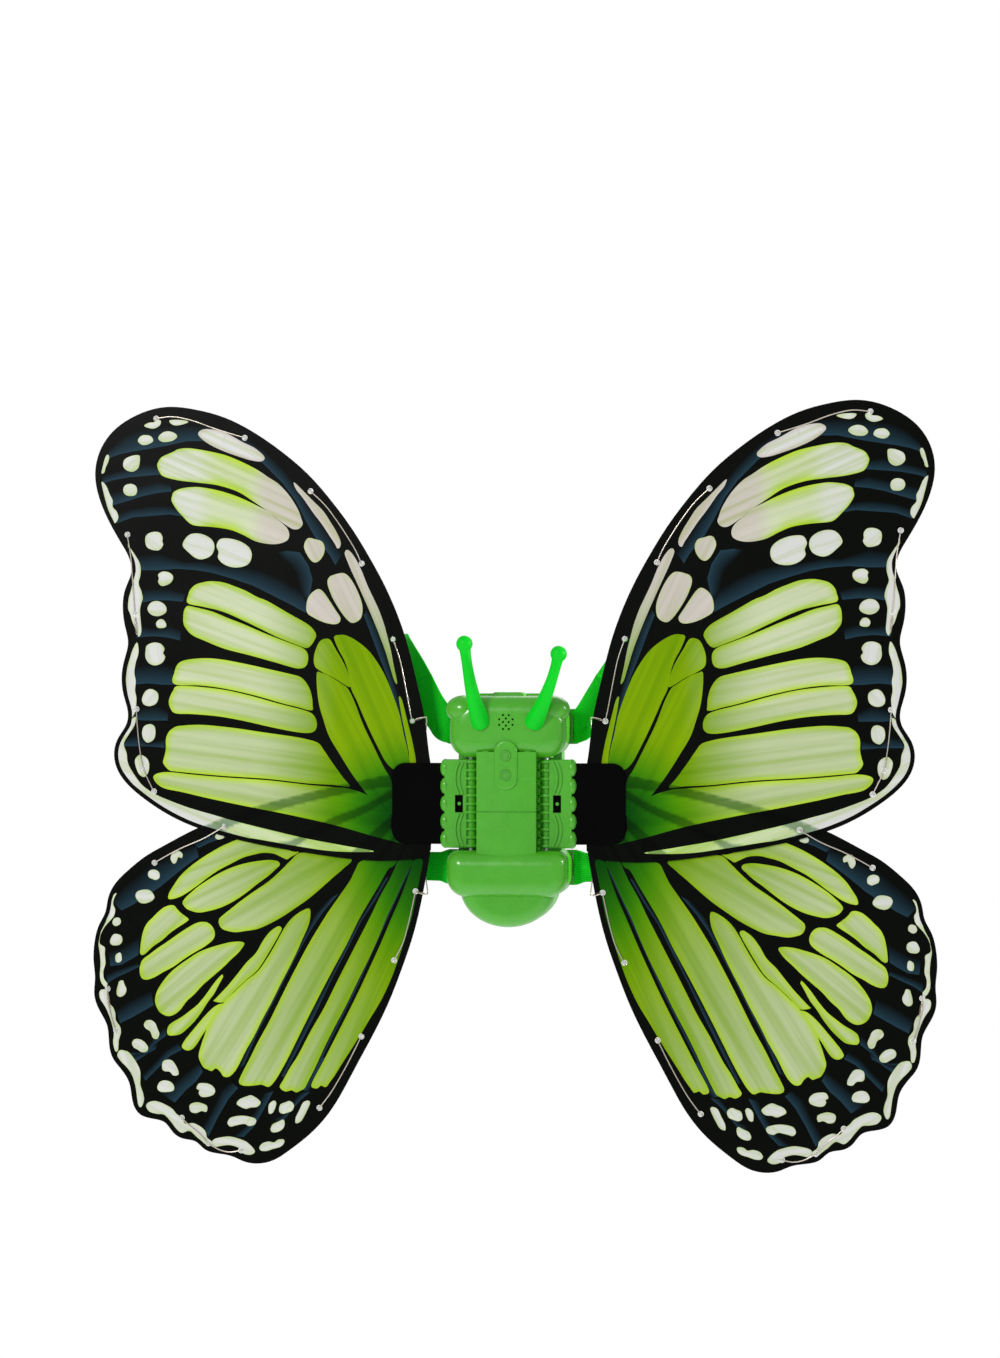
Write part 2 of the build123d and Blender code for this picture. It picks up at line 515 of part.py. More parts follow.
# ---------------------------------------------------------------- wing arms
def arm_barrel():
    """The ribbed hinge barrel: eleven rings on a thinner core, each squared off toward the plate."""
    barrel = rod_z(-HINGE_X, HINGE_Y, BARREL_CORE_R, -ARM_HALF_H, ARM_HALF_H)
    for i in range(11):
        z = RING_PITCH * (i - 5)
        ring = rod_z(-HINGE_X, HINGE_Y, BARREL_R, z - 0.9, z + 0.9)
        barrel += fillet(ring.edges().filter_by(GeomType.CIRCLE), 0.4)
        barrel += block(-HINGE_X - BARREL_R, -HINGE_X, HINGE_Y - ARM_THICK / 2 + 0.3, HINGE_Y, z - 0.9, z + 0.9)
    return barrel


def wing_arm():
    """The left arm: barrel, socket plate, scalloped edge, curved ribs and latch window."""
    front, back = HINGE_Y - ARM_THICK / 2, HINGE_Y + ARM_THICK / 2
    plate = block(-ARM_OUTER_X, -ARM_INNER_X, front, back, -ARM_HALF_H, ARM_HALF_H)
    plate = fillet(plate.edges().filter_by(Axis.X), 1.2)
    arm = arm_barrel() + (plate - rod_z(-HINGE_X, HINGE_Y, BARREL_R, -40, 40))
    arm += block(-31.5, -HINGE_X - 2, HINGE_Y - 2.6, HINGE_Y + 2.6, -ARM_HALF_H, ARM_HALF_H)
    for i in range(5):
        scallop = Pos(-ARM_OUTER_X, HINGE_Y, BEAD_PITCH * (i - 2)) * scale(Sphere(1), by=(3.7, 5.2, 6.4))
        arm += scallop
    for sign in (-1, 1):
        for shift in (0, 2.8):
            arc = ThreePointArc((shift - 33.8, sign * 29), (shift - 36.8, sign * 17.5), (shift - 34, sign * 6.6))
            arm += slab(trace(arc, line_width=1.4), front + 0.5, front - 1.2)
    arm -= block(-60, -SOCKET_X, HINGE_Y - SOCKET_THICK / 2, HINGE_Y + SOCKET_THICK / 2,
                 -SOCKET_HALF_H, SOCKET_HALF_H)
    arm -= block(-36.8, -31.2, front - 3, HINGE_Y, -6, 6)
    arm -= rod_y(-LATCH_X, 0, 1.2, HINGE_Y, back + 1)
    return arm - rod_z(-HINGE_X, HINGE_Y, PIN_R, -40, 40)


def latch_pin():
    """The snap pin that holds the wing's tongue in the socket."""
    back = HINGE_Y + ARM_THICK / 2
    return rod_y(-LATCH_X, 0, 1.2, back + 0.1, HINGE_Y - 2.9) + rod_y(-LATCH_X, 0, 2.2, back, back + 0.8)


def hinge_pin():
    """The left steel hinge pin."""
    return rod_z(-HINGE_X, HINGE_Y, PIN_R, RACK_BOTTOM - 0.8, 37.6)


def hinge_bushes():
    """Four flanged bushes in the case for the two hinge pins."""
    bushes = []
    for x in (-HINGE_X, HINGE_X):
        for z0, z1 in ((32, 38), (-36, -32)):
            bushes.append(rod_z(x, HINGE_Y, BUSH_R, z0, z1) - rod_z(x, HINGE_Y, BUSH_BORE, z0 - 1, z1 + 1))
    return bushes


# ---------------------------------------------------------------- wings
def wing_film(edge, beads, rear_y):
    """One printed film panel with its bead and rivet holes."""
    left = [(-u, v) for u, v in edge]
    outline = Spline(*left) + Line(left[-1], left[0])
    film = slab(make_face(outline), rear_y, rear_y - FILM)
    for u, v in beads:
        film -= rod_y(-u, v, BEAD_HOLE_R, rear_y + 1, rear_y - FILM - 1)
    for u, v in RIVETS:
        film -= rod_y(-u, v, 1.3, rear_y + 1, rear_y - FILM - 1)
    return film


def tab_face(u0, u1):
    """The clamp's front view between two distances from the middle, round at its outer end."""
    face = Pos(-(u0 + u1) / 2, 0) * Rectangle(u1 - u0, 2 * TAB_HALF_H)
    return fillet(face.vertices().sort_by(Axis.X)[:2], TAB_R) if u1 == TAB_X1 else face


def clamp_holes(solid):
    """Cuts the latch and rivet holes through one clamp layer."""
    solid -= rod_y(-LATCH_X, 0, 1.5, HINGE_Y - 5, HINGE_Y + 5)
    for u, v in RIVETS:
        solid -= rod_y(-u, v, 1.0, HINGE_Y - 5, HINGE_Y + 5)
    return solid


def clamp_front():
    """The black plate on the seen side of the wing root."""
    front = UPPER_Y - FILM - CLAMP
    plate = slab(tab_face(TAB_X0, TAB_X1), UPPER_Y - FILM, front)
    plate = clamp_holes(fillet(front_edges(plate, front), 0.5))
    for u, v in RIVETS:
        plate += rod_y(-u, v, 1.6, front + 0.01, front + 0.7)
    return plate


def clamp_shim():
    """The shim between the films, full thickness in the tongue."""
    shim = slab(tab_face(TAB_X0, ROOT_U - 0.5), LOWER_Y, UPPER_Y - FILM)
    return clamp_holes(shim + slab(tab_face(ROOT_U - 1, TAB_X1), LOWER_Y - FILM, UPPER_Y))


def clamp_rear():
    """The black plate on the wearer's side of the wing root."""
    plate = slab(tab_face(TAB_X0, TAB_X1), LOWER_Y + CLAMP, LOWER_Y)
    return clamp_holes(fillet(front_edges(plate, LOWER_Y + CLAMP), 0.4))


def clamp_rivets():
    """Rivets through the clamp, headed on the wearer's side."""
    rivets = []
    for u, v in RIVETS:
        shank = rod_y(-u, v, 0.95, LOWER_Y + CLAMP + 0.4, UPPER_Y - FILM - CLAMP + 0.75)
        head = rod_y(-u, v, 2.0, LOWER_Y + CLAMP, LOWER_Y + CLAMP + 0.8)
        rivets.append(shank + fillet(front_edges(head, LOWER_Y + CLAMP + 0.8), 0.5))
    return rivets


def tube(points, radius=WIRE_R):
    """A round wire along straight runs joined by arcs as large as the runs allow."""
    route = [Vector(*p) for p in points]
    if len(route) == 2:
        path = Line(route[0], route[1])
    else:
        radii = []
        for a, b, c in zip(route, route[1:], route[2:]):
            turn = math.radians((b - a).get_angle(c - b))
            run = min((b - a).length, (c - b).length)
            radii.append(0.45 * run / math.tan(turn / 2))
        path = FilletPolyline(*route, radius=radii)
    ring = Plane(origin=path @ 0, z_dir=path % 0) * Circle(radius)
    return sweep(ring, path=path)


def wire_runs(runs, y):
    """The wire runs on one face of a film."""
    return [tube([(-u, y, v) for u, v in run]) for run in runs]


def light_beads(beads, rear_y):
    """The clear light beads set in the film's holes. The first lower bead holds both films together."""
    middle = [HINGE_Y if bead == SHARED_BEAD else rear_y - FILM / 2 for bead in beads]
    return [Pos(-u, y, v) * Sphere(BEAD_R) for (u, v), y in zip(beads, middle)]


def light_wires(upper):
    """All wire of one light string, with the lead that goes round the film's edge into the clamp."""
    reach = WIRE_R + 0.05
    if upper:
        front, back = UPPER_Y - FILM - reach, UPPER_Y + reach
        lead = [(-67, front, 57), (-62, front, 59.2), (-57.2, front, 59.6), (-56.9, back, 58.4), (-58.2, back, 44),
                (-61.5, back, 36), (-62, back, TAB_HALF_H)]
        return wire_runs(FRONT_UPPER, front) + wire_runs(BACK_UPPER, back) + [tube(lead)]
    front, back = LOWER_Y - FILM - reach, LOWER_Y + reach
    step = UPPER_Y - FILM - reach
    over = [(-249.5, front, -42.5), (-240, front - 0.6, -37), (-229, front - 1.1, -31.4), (-214, step, -25.4),
            (-200, step, -17)]
    lead = [(-65, front, -61), (-61, front, -62.8), (-56.8, front, -63), (-56.6, back, -61.6), (-58.4, back, -48),
            (-61.5, back, -38), (-62, back, -TAB_HALF_H)]
    return wire_runs(FRONT_LOWER, front) + wire_runs(BACK_LOWER, back) + [tube(over), tube(lead)]


# ---------------------------------------------------------------- head details
def antenna(base_x, tip):
    """A soft antenna: a curved taper with a ball end and a plug through the head."""
    start, end = Vector(base_x, HEAD_FRONT + 2.5, ANTENNA_Z), Vector(*tip)
    knee = Vector(base_x + 0.3 * (tip[0] - base_x), HEAD_FRONT - 9, ANTENNA_Z + 10)
    line = Bezier(start, knee, Vector(end.X * 0.75 + base_x * 0.25, end.Y + 1, end.Z - 22), end)
    radii = [(0, 6.5), (0.12, 6.2), (0.3, 5.2), (0.5, 4.3), (0.7, 3.7), (0.88, 3.7), (1, 4.4)]
    rings = [Plane(origin=line @ t, z_dir=line % t) * Circle(r) for t, r in radii]
    stem = loft([r.faces()[0] for r in rings]) + Pos(*(line @ 1)) * Sphere(5.6)
    stem -= block(-60, 60, HEAD_FRONT, 0, 20, 110)
    plug = rod_y(base_x, ANTENNA_Z, 2.95, HEAD_FRONT - 0.2, HEAD_FRONT + 3.6)
    lip = Pos(base_x, HEAD_FRONT + 3.1, ANTENNA_Z) * Rot(90, 0, 0) * Cone(3.8, 2.4, 2.2)
    return stem + plug + lip


def eye(side):
    """One bulging eye on the head's upper corner."""
    ball = Pos(side * EYE_X, EYE_Y, EYE_Z) * scale(Sphere(1), by=(12.4, 11.0, 9.8))
    return ball - front_body(0, SPLIT_Y - 1) - slab(case_face(), 1, SPLIT_Y - BASE_PLATE)


def push_button(z):
    """A round push button with its retaining flange and plunger."""
    cap = rod_y(0, z, 3.65, PANEL_CROWN - 2.4, PANEL_CROWN + 1.6)
    cap = fillet(front_edges(cap, PANEL_CROWN - 2.4), 0.5)
    cap -= rod_y(0, z, 2.5, PANEL_CROWN - 3, PANEL_CROWN - 2.1)
    cap += fillet(front_edges(rod_y(0, z, 2.1, PANEL_CROWN - 2.5, PANEL_CROWN), PANEL_CROWN - 2.5), 0.3)
    return cap + rod_y(0, z, 4.9, PANEL_CROWN + 1.5, PANEL_CROWN + 2.6) + rod_y(0, z, 1.6, PANEL_CROWN + 2.5, -41.8)


def circuit_board():
    """The control board behind the buttons, with a hole for each mounting post."""
    board = slab(Pos(0, 24) * RectangleRounded(34, 32, 1.5), BOARD_Y + 1.6, BOARD_Y)
    for x, z in BOARD_POSTS:
        board -= rod_y(x, z, 1.1, BOARD_Y - 1, BOARD_Y + 3)
    return board


def board_parts():
    """Two switches, the sound chip, the driver chip and three capacitors."""
    parts = []
    for z in BUTTON_Z:
        switch = block(-3, 3, BOARD_Y - 3, BOARD_Y, z - 2.4, z + 2.4) + rod_y(0, z, 1.7, BOARD_Y - 3.4, BOARD_Y - 2.9)
        parts.append(switch)
    parts.append(block(-13, -6, BOARD_Y - 1.4, BOARD_Y, 18, 23))
    parts.append(block(6, 12, BOARD_Y - 1.4, BOARD_Y, 24, 30))
    for x, z in ((-10, 32), (9, 14), (-9, 12)):
        parts.append(rod_y(x, z, 2.2, BOARD_Y - 5, BOARD_Y))
    return parts


def speaker_parts():
    """The speaker's basket with its magnet, and its cone."""
    y = HEAD_FRONT + WALL + 1.8
    basket = rod_y(0, SPEAKER_Z, SPEAKER_R, y, y + 2.6) - rod_y(0, SPEAKER_Z, SPEAKER_R - 1.4, y - 1, y + 1.8)
    basket += rod_y(0, SPEAKER_Z, 6.5, y + 2.5, y + 5.4)
    cone = Pos(0, y + 0.95, SPEAKER_Z) * Rot(-90, 0, 0) * Cone(SPEAKER_R - 1.7, 4.0, 1.5)
    return basket, cone


def case_screw(x, z):
    """A pan-head self-tapping case screw with a cross slot."""
    screw = rod_y(x, z, 2.8, -10, -8) + rod_y(x, z, 1.4, -9.9, -32)
    return screw - block(x - 1.8, x + 1.8, -8.9, -7, z - 0.35, z + 0.35) - block(x - 0.35, x + 0.35, -8.9, -7,
                                                                                 z - 1.8, z + 1.8)


# ---------------------------------------------------------------- straps
def shoulder_strap():
    """The left shoulder loop of flat elastic webbing, in the shape it takes when worn."""
    sections = []
    points = [Vector(*p) for p, _ in STRAP_ROUTE]
    for i, (point, outward) in enumerate(STRAP_ROUTE):
        ahead = points[min(i + 1, len(points) - 1)] - points[max(i - 1, 0)]
        along = ahead.normalized()
        across = along.cross(Vector(*outward)).normalized()
        if min(i, len(points) - 1 - i) < 3:
            across = Vector(0, 0, math.copysign(1, across.Z))
        plane = Plane(origin=points[i], x_dir=across, z_dir=along)
        sections.append((plane * Rectangle(STRAP_W, STRAP_T)).faces()[0])
    return loft(sections, ruled=True)


# ---------------------------------------------------------------- writing the nodes
def main():
    """Builds every node and writes it."""
    os.makedirs("parts", exist_ok=True)
    save("front_cover", front_cover())
    save("rear_cover", rear_cover())
    save("case_screws", *[case_screw(x, z) for x, z in CASE_SCREWS])
    save("battery_door", battery_door())
    save("battery_door_screw", door_screw())
    save("battery_cells", *[battery_cell(x, 1 if i % 2 == 0 else -1) for i, x in enumerate(CELL_X)])
    save("battery_contacts", *battery_contacts())
    save("eye_left", eye(-1))
    save("eye_right", eye(1))
    save("antenna_left", antenna(*ANTENNAE[0]))
    save("antenna_right", antenna(*ANTENNAE[1]))
    for name, z in zip(("music_button", "wing_button"), BUTTON_Z):
        save(name, push_button(z))
    save("circuit_board", circuit_board())
    save("board_components", *board_parts())
    basket, cone = speaker_parts()
    save("speaker_basket", basket)
    save("speaker_cone", cone)
    save("gear_frame", gear_frame())
    save("rack_guide", rack_guide())
    save("gear_pins", *gear_pins())
    save("motor_can", motor_can())
    save("motor_end_cap", motor_end_cap())
    save("motor_pinion", motor_pinion())
    save("first_gear", compound_gear(FIRST, LEVELS[2], mesh_turn(GEAR_Z, 180), 270))
    save("second_gear", compound_gear(SECOND, LEVELS[1], mesh_turn(GEAR_Z, 90), 180))
    save("crank_gear", crank_gear())
    save("drive_rack", drive_rack())
    save_pair("sector_gear", sector_gear())
    save_pair("wing_arm", wing_arm())
    save_pair("latch_pin", latch_pin())
    save_pair("hinge_pin", hinge_pin())
    save("hinge_bushes", *hinge_bushes())
    save_pair("clamp_front", clamp_front())
    save_pair("clamp_shim", clamp_shim())
    save_pair("clamp_rear", clamp_rear())
    save_pair("clamp_rivets", *clamp_rivets())
    save_pair("upper_wing", wing_film(UPPER_EDGE, UPPER_BEADS + [SHARED_BEAD], UPPER_Y))
    save_pair("lower_wing", wing_film(LOWER_EDGE, LOWER_BEADS, LOWER_Y))
    save_pair("upper_light_beads", *light_beads(UPPER_BEADS, UPPER_Y))
    save_pair("lower_light_beads", *light_beads(LOWER_BEADS, LOWER_Y))
    save_pair("upper_light_wire", *light_wires(True))
    save_pair("lower_light_wire", *light_wires(False))
    save_pair("shoulder_strap", shoulder_strap())


main()
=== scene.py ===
import json
import math

import bpy
import numpy as np
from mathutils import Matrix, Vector
from mathutils.geometry import delaunay_2d_cdt
from mathutils.kdtree import KDTree


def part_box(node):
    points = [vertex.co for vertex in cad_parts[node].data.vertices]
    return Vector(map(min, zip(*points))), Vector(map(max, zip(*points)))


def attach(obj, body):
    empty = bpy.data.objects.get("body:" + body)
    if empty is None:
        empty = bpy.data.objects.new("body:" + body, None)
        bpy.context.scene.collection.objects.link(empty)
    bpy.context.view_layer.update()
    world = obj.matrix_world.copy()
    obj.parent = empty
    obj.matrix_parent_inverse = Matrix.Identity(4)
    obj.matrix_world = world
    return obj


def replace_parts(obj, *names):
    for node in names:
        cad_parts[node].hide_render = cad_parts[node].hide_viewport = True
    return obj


# The looks of the wearable flapping butterfly wings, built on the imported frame, in metres and in its axes. The
# printed wing films are drawn in millimetres as (outward, up) from the middle of the case, for the left wings,
# and mirrored for the right ones.
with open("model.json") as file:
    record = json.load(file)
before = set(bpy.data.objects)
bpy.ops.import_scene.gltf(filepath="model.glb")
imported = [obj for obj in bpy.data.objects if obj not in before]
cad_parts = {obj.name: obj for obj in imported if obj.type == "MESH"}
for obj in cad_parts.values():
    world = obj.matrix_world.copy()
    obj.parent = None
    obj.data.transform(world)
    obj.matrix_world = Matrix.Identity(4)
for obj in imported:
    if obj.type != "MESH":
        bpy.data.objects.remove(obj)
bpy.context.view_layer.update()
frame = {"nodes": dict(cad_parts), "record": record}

# ---------------------------------------------------------------- the printed pattern, (outward, up) in mm
def paired(row):
    """A flat row of numbers as (outward, up) points."""
    return list(zip(row[::2], row[1::2]))


# Upper wing: lime cells (the first is pale, the last three lie in the inner group), thin slivers, white
# spots, pale margin strips, and navy bands as pairs of a clean line and a line where the navy is lost.
UPPER_CELLS = [paired(row) for row in (
    [218,256.5, 215,260, 208,260, 200.5,258.5, 193.5,255, 186.5,251, 177.5,246.5, 171,240.5, 173,237.5,
     179.5,238, 186.5,240, 200.5,245, 211.5,250.5],
    [247,234, 247,236.5, 244,241, 236,244.5, 232,246.5, 224,247, 211.5,245, 200.5,242.5, 193.5,240, 184.5,236,
     176,231.5, 168.5,226.5, 161.5,222, 155.5,216, 151,210, 147,203, 145,197.5, 144,193.5, 146.5,190.5,
     150,190, 153.5,191.5, 160,196, 168.5,202.5, 179.5,210, 190,216.5, 204,221, 218.5,223, 231,224.5,
     241.5,227, 245,229.5],
    [237,210.5, 236.5,214, 235.5,216.5, 230,219, 220,220, 211.5,219, 204,217.5, 197,215.5, 190,213, 183,210,
     176,206.5, 168.5,202.5, 163.5,198.5, 158,194, 154.5,190, 153.5,185.5, 155.5,182, 161.5,180, 168.5,180,
     177.5,182, 186.5,186.5, 195.5,190, 208,192, 220,193, 224.5,195, 229,199.5, 233.5,204.5],
    [225.5,139, 225,145, 223.5,148.5, 219.5,152, 211.5,154, 205,154, 199,153, 192,150.5, 184.5,147.5, 176,143,
     168.5,140, 154.5,132, 142,125, 137,121, 134.5,116.5, 136,112.5, 138.5,109, 141.5,107.5, 147.5,109.5,
     161.5,115, 176,122, 184.5,126, 195.5,131, 204,134, 215,136.5],
    [225.5,137, 220,136, 208,133, 197,128.5, 186.5,124.5, 176,120, 165,115.5, 153,111, 144,107.5, 140.5,103.5,
     140.5,97.5, 143,94, 149,93.5, 161.5,97, 179.5,102, 199,107, 213,112.5, 222,116.5, 226.5,121, 228.5,125,
     228.5,131.5, 227.5,135],
    [235,82.5, 235,90.5, 232,97, 225.5,99.5, 213,100.5, 200.5,99.5, 184.5,96.5, 168.5,93, 153,89.5, 145,87,
     140,81, 137.5,73.5, 137,67, 137,64.5, 140.5,64.5, 147.5,66.5, 158,69, 179.5,75, 200.5,79.5, 216.5,81.5],
    [233.5,81, 224,81, 211.5,80, 197,78, 179.5,74, 161.5,69, 142,64, 136,60.5, 134,54.5, 135.5,50, 140.5,48.5,
     151,49.5, 168.5,53, 186.5,57, 204,60, 222,61.5, 234,62, 237.5,65, 239,70, 237.5,75, 235.5,78.5],
    [243,27.5, 242,32, 241,37.5, 241,44, 239,49, 234.5,52.5, 229,53.5, 215,54, 193.5,52, 172.5,49, 151,46,
     140.5,44, 133,41.5, 129,36.5, 122.5,27, 115.5,17.5, 111,11.5, 122.5,12.5, 140.5,13.5, 168.5,16.5,
     200.5,18.5, 224,20.5, 234.5,21.5, 239,22.5],
    [250,17.5, 247,20, 239,21, 224,19.5, 200.5,17.5, 168.5,15.5, 140.5,12.5, 122.5,11, 112,10, 99.5,6,
     89,-0.5, 82,-7.5, 82,-18, 76,-25, 73,-28, 82,-26, 96,-22.5, 113.5,-17.5, 129.5,-13.5, 158,-7.5,
     184.5,-2.5, 211.5,3, 229,7, 241.5,9.5, 247.5,13],
    [135.5,95, 136,102, 134,108.5, 131.5,112.5, 128,114, 124.5,113, 121,107, 116.5,99.5, 113,92.5, 110.5,85.5,
     110.5,80.5, 113.5,81.5, 122.5,87, 130.5,91],
    [134,90.5, 131.5,90.5, 126,88.5, 121,85.5, 115.5,82, 112,79, 107.5,70, 101.5,54.5, 94,39, 87,25, 82,16.5,
     80.5,6, 80.5,-7.5, 87,-4, 96,3, 108.5,19, 119,35.5, 125.5,46.5, 129.5,58, 132.5,68.5, 134,80.5],
    [122,115, 119,116.5, 114.5,116.5, 109.5,114.5, 104,111, 97.5,105.5, 91.5,97.5, 86,88, 81,76, 76,61.5,
     73,47.5, 70,35.5, 69.5,27, 74.5,24.5, 80,23.5, 85.5,28.5, 90.5,37.5, 96,48.5, 101.5,60.5, 106,71,
     110,79.5, 111.5,89, 114.5,98.5, 119,107],
)]
UPPER_SLIVERS = [paired(row) for row in (
    [150.5,222.5, 148.5,221.5, 144,217, 137,210, 129.5,202.5, 124.5,195, 120.5,188.5, 117.5,182, 117.5,178,
     119.5,176.5, 121.5,180, 125.5,186, 130.5,193.5, 137,202, 144,212, 148.5,217.5],
    [114.5,173.5, 112,175.5, 107.5,170.5, 103,162, 98.5,151, 94,141.5, 90.5,134, 87,124.5, 84.5,115.5,
     82,105.5, 80,95, 77.5,83, 79.5,84.5, 82.5,94, 86,105.5, 90.5,117.5, 95,128.5, 100.5,141, 105.5,152,
     111,164],
    [76.5,73.5, 74.5,72, 72,63, 69.5,53, 66.5,40.5, 64.5,27, 68.5,26.5, 69.5,35.5, 72,48.5, 74.5,60.5],
)]
UPPER_SPOTS = [paired(row) for row in (
    [256.5,263, 253.5,265, 249.5,265.5, 246,267, 244.5,266, 245.5,263, 249.5,261, 253.5,261.5],
    [238.5,266.5, 233.5,267, 228,266.5, 225,265.5, 228,264, 233.5,263, 237,264],
    [261,253, 258.5,256, 255,256.5, 251.5,255.5, 250,252.5, 252.5,250.5, 256.5,249.5, 259.5,250.5],
    [246.5,254.5, 243.5,258, 239,259, 234.5,257.5, 233,255, 236,252.5, 240.5,251.5, 244.5,252],
    [271.5,235, 270.5,239.5, 265.5,242, 260.5,242.5, 259.5,240.5, 260.5,234, 264.5,231, 269,232],
    [271.5,218.5, 270,221.5, 266,222.5, 262.5,221, 261.5,217.5, 263,214.5, 267.5,214, 270.5,215.5],
    [255.5,185.5, 251.5,188.5, 246,188.5, 243.5,185.5, 243.5,182, 243,179.5, 246,176, 251.5,176.5, 255,179],
    [229,179, 227.5,183.5, 223.5,187, 217.5,187.5, 211.5,185.5, 207.5,182, 206.5,177, 209,172, 215,169.5,
     220,170.5, 225,174.5],
    [205,178.5, 203.5,182.5, 200.5,184, 193.5,183.5, 186.5,181, 181.5,177, 180,172, 182,166.5, 187.5,164,
     194.5,164, 200.5,166.5, 204,170.5, 203.5,174.5],
    [246.5,159, 243.5,161, 239,160.5, 236,158, 236.5,154.5, 239.5,152, 244,151, 246.5,153.5, 246,156.5],
    [254,136, 251.5,139.5, 247,140.5, 242.5,138.5, 240.5,135, 241.5,132, 246,130, 250.5,130.5, 253.5,133],
    [248,125, 246,127.5, 243,127.5, 241,125, 241,122.5, 244,121.5, 247,122],
    [255.5,105.5, 254.5,109.5, 249.5,111.5, 244.5,110.5, 242,107, 243,104, 241.5,101.5, 243.5,97.5,
     248.5,95.5, 253,97, 255.5,101],
    [258,72.5, 255.5,77.5, 251.5,79, 247,76.5, 246.5,72, 248.5,68.5, 253,67, 257,68.5],
    [258,48.5, 256.5,53, 252,54.5, 249,52.5, 248.5,47.5, 250,43.5, 254,41.5, 257,44],
    [263,27, 262.5,30.5, 259.5,33, 255,31, 253,27, 253.5,21, 256.5,17.5, 260.5,20],
    [143,177, 142,182, 139.5,184, 135,183, 130.5,181.5, 128.5,177, 129.5,172, 132.5,168, 136,167, 139.5,170],
    [126.5,152, 125.5,156.5, 121.5,158.5, 115.5,159.5, 111.5,157, 107.5,151, 104,143.5, 102,136.5,
     102.5,129.5, 105.5,126, 109.5,125, 113.5,128, 119,135.5, 123.5,143.5],
    [141.5,135.5, 140.5,141.5, 137.5,146, 133,148.5, 129.5,146.5, 125.5,141, 121,134, 117.5,128.5, 118.5,125,
     122.5,124, 129.5,125.5, 136,128.5, 140.5,131.5],
    [284,234, 285,230.5, 287,230, 286,235, 284.5,240.5, 283,243, 281.5,242, 282,238.5],
)]
UPPER_MARGINS = [paired(row) for row in (
    [287,224, 285,223, 283,220, 281,215, 279,211, 279,206.5, 276,203, 275,198.5, 277.5,195, 280,199.5,
     282.5,205.5, 284.5,212.5, 286,218.5],
    [268,182, 266.5,178, 263.5,173.5, 259.5,166.5, 259,159.5, 260.5,153, 258.5,147.5, 257.5,142.5, 258.5,139,
     259.5,134, 259,127, 258.5,119, 260.5,115.5, 262.5,121, 264.5,125, 266.5,131.5, 268,135.5, 267.5,142.5,
     265.5,149.5, 264,158, 265.5,166.5, 267.5,173.5],
    [261.5,111.5, 260.5,104.5, 262.5,97.5, 263.5,90.5, 262.5,84.5, 263,78, 262,72, 263,63, 266.5,58, 268,63,
     268.5,70, 269.5,77, 269.5,85.5, 268.5,94, 266.5,101, 264.5,107],
    [262.5,59.5, 263.5,53.5, 268,46.5, 271,40.5, 269,34, 268,27, 263.5,19, 257.5,11.5, 248.5,5.5, 238,1,
     224,-4, 208,-8.5, 190,-13.5, 165,-19.5, 140.5,-25, 115.5,-29.5, 94,-33.5, 122.5,-33.5, 149,-30,
     176,-25.5, 200.5,-22.5, 224,-17, 238,-11, 250.5,-4, 261,3.5, 270,15, 274.5,25, 276,35.5, 275,44, 271,51,
     266.5,57],
)]
UPPER_BANDS = [(paired(clean), paired(lost)) for clean, lost in (
    ([283,240, 275,243, 265,245, 252,247, 240,249, 226,252, 211,252, 201,250],
     [281,247, 272,255, 261,260, 249,262, 234,263, 220,263, 208,262, 199,258]),
    ([286,223, 279,225, 268,227, 256,228, 243,229],
     [286,228, 277,231, 266,234, 256,236, 247,235]),
    ([281,207, 270,210, 257,214, 247,216, 237,217],
     [282,216, 272,218, 259,221, 247,224, 238,222]),
    ([276,195, 265,199, 252,200, 238,201, 226,199],
     [277,201, 265,205, 252,207, 242,207, 233,205]),
    ([260,162, 247,162, 233,163, 220,162, 208,160, 194,156, 179,151, 165,144, 151,137, 142,132],
     [261,172, 247,174, 229,168, 215,168, 201,165, 186,164, 172,161, 158,155, 147,148, 140,145]),
    ([201,250, 186,246, 172,236, 158,222, 149,210, 142,196, 135,184, 125,172, 121,165],
     [198,258, 186,255, 172,246, 158,232, 146,217, 137,203, 129,192, 121,179, 116,173]),
    ([101,130, 96,117, 90,101, 84,86, 79,68, 75,51, 71,37],
     [99,134, 92,124, 86,106, 81,89, 76,72, 71,53, 68,37]),
    ([260,139, 250,141, 240,141, 229,140],
     [260,148, 250,149, 239,149, 227,146]),
    ([262,115, 250,116, 240,115, 231,113],
     [260,123, 250,121, 238,123, 230,120]),
    ([264,82, 254,83, 243,82, 235,82],
     [264,95, 254,96, 243,96, 236,95]),
    ([266,58, 257,57, 249,57, 240,57],
     [263,63, 256,66, 247,67, 239,63]),
    ([271,39, 263,39, 254,39, 242,38],
     [268,45, 261,47, 254,41, 242,44]),
    ([139,145, 137,155, 140,165, 146,174, 155,175],
     [142,139, 146,149, 149,160, 155,167, 162,174]),
)]
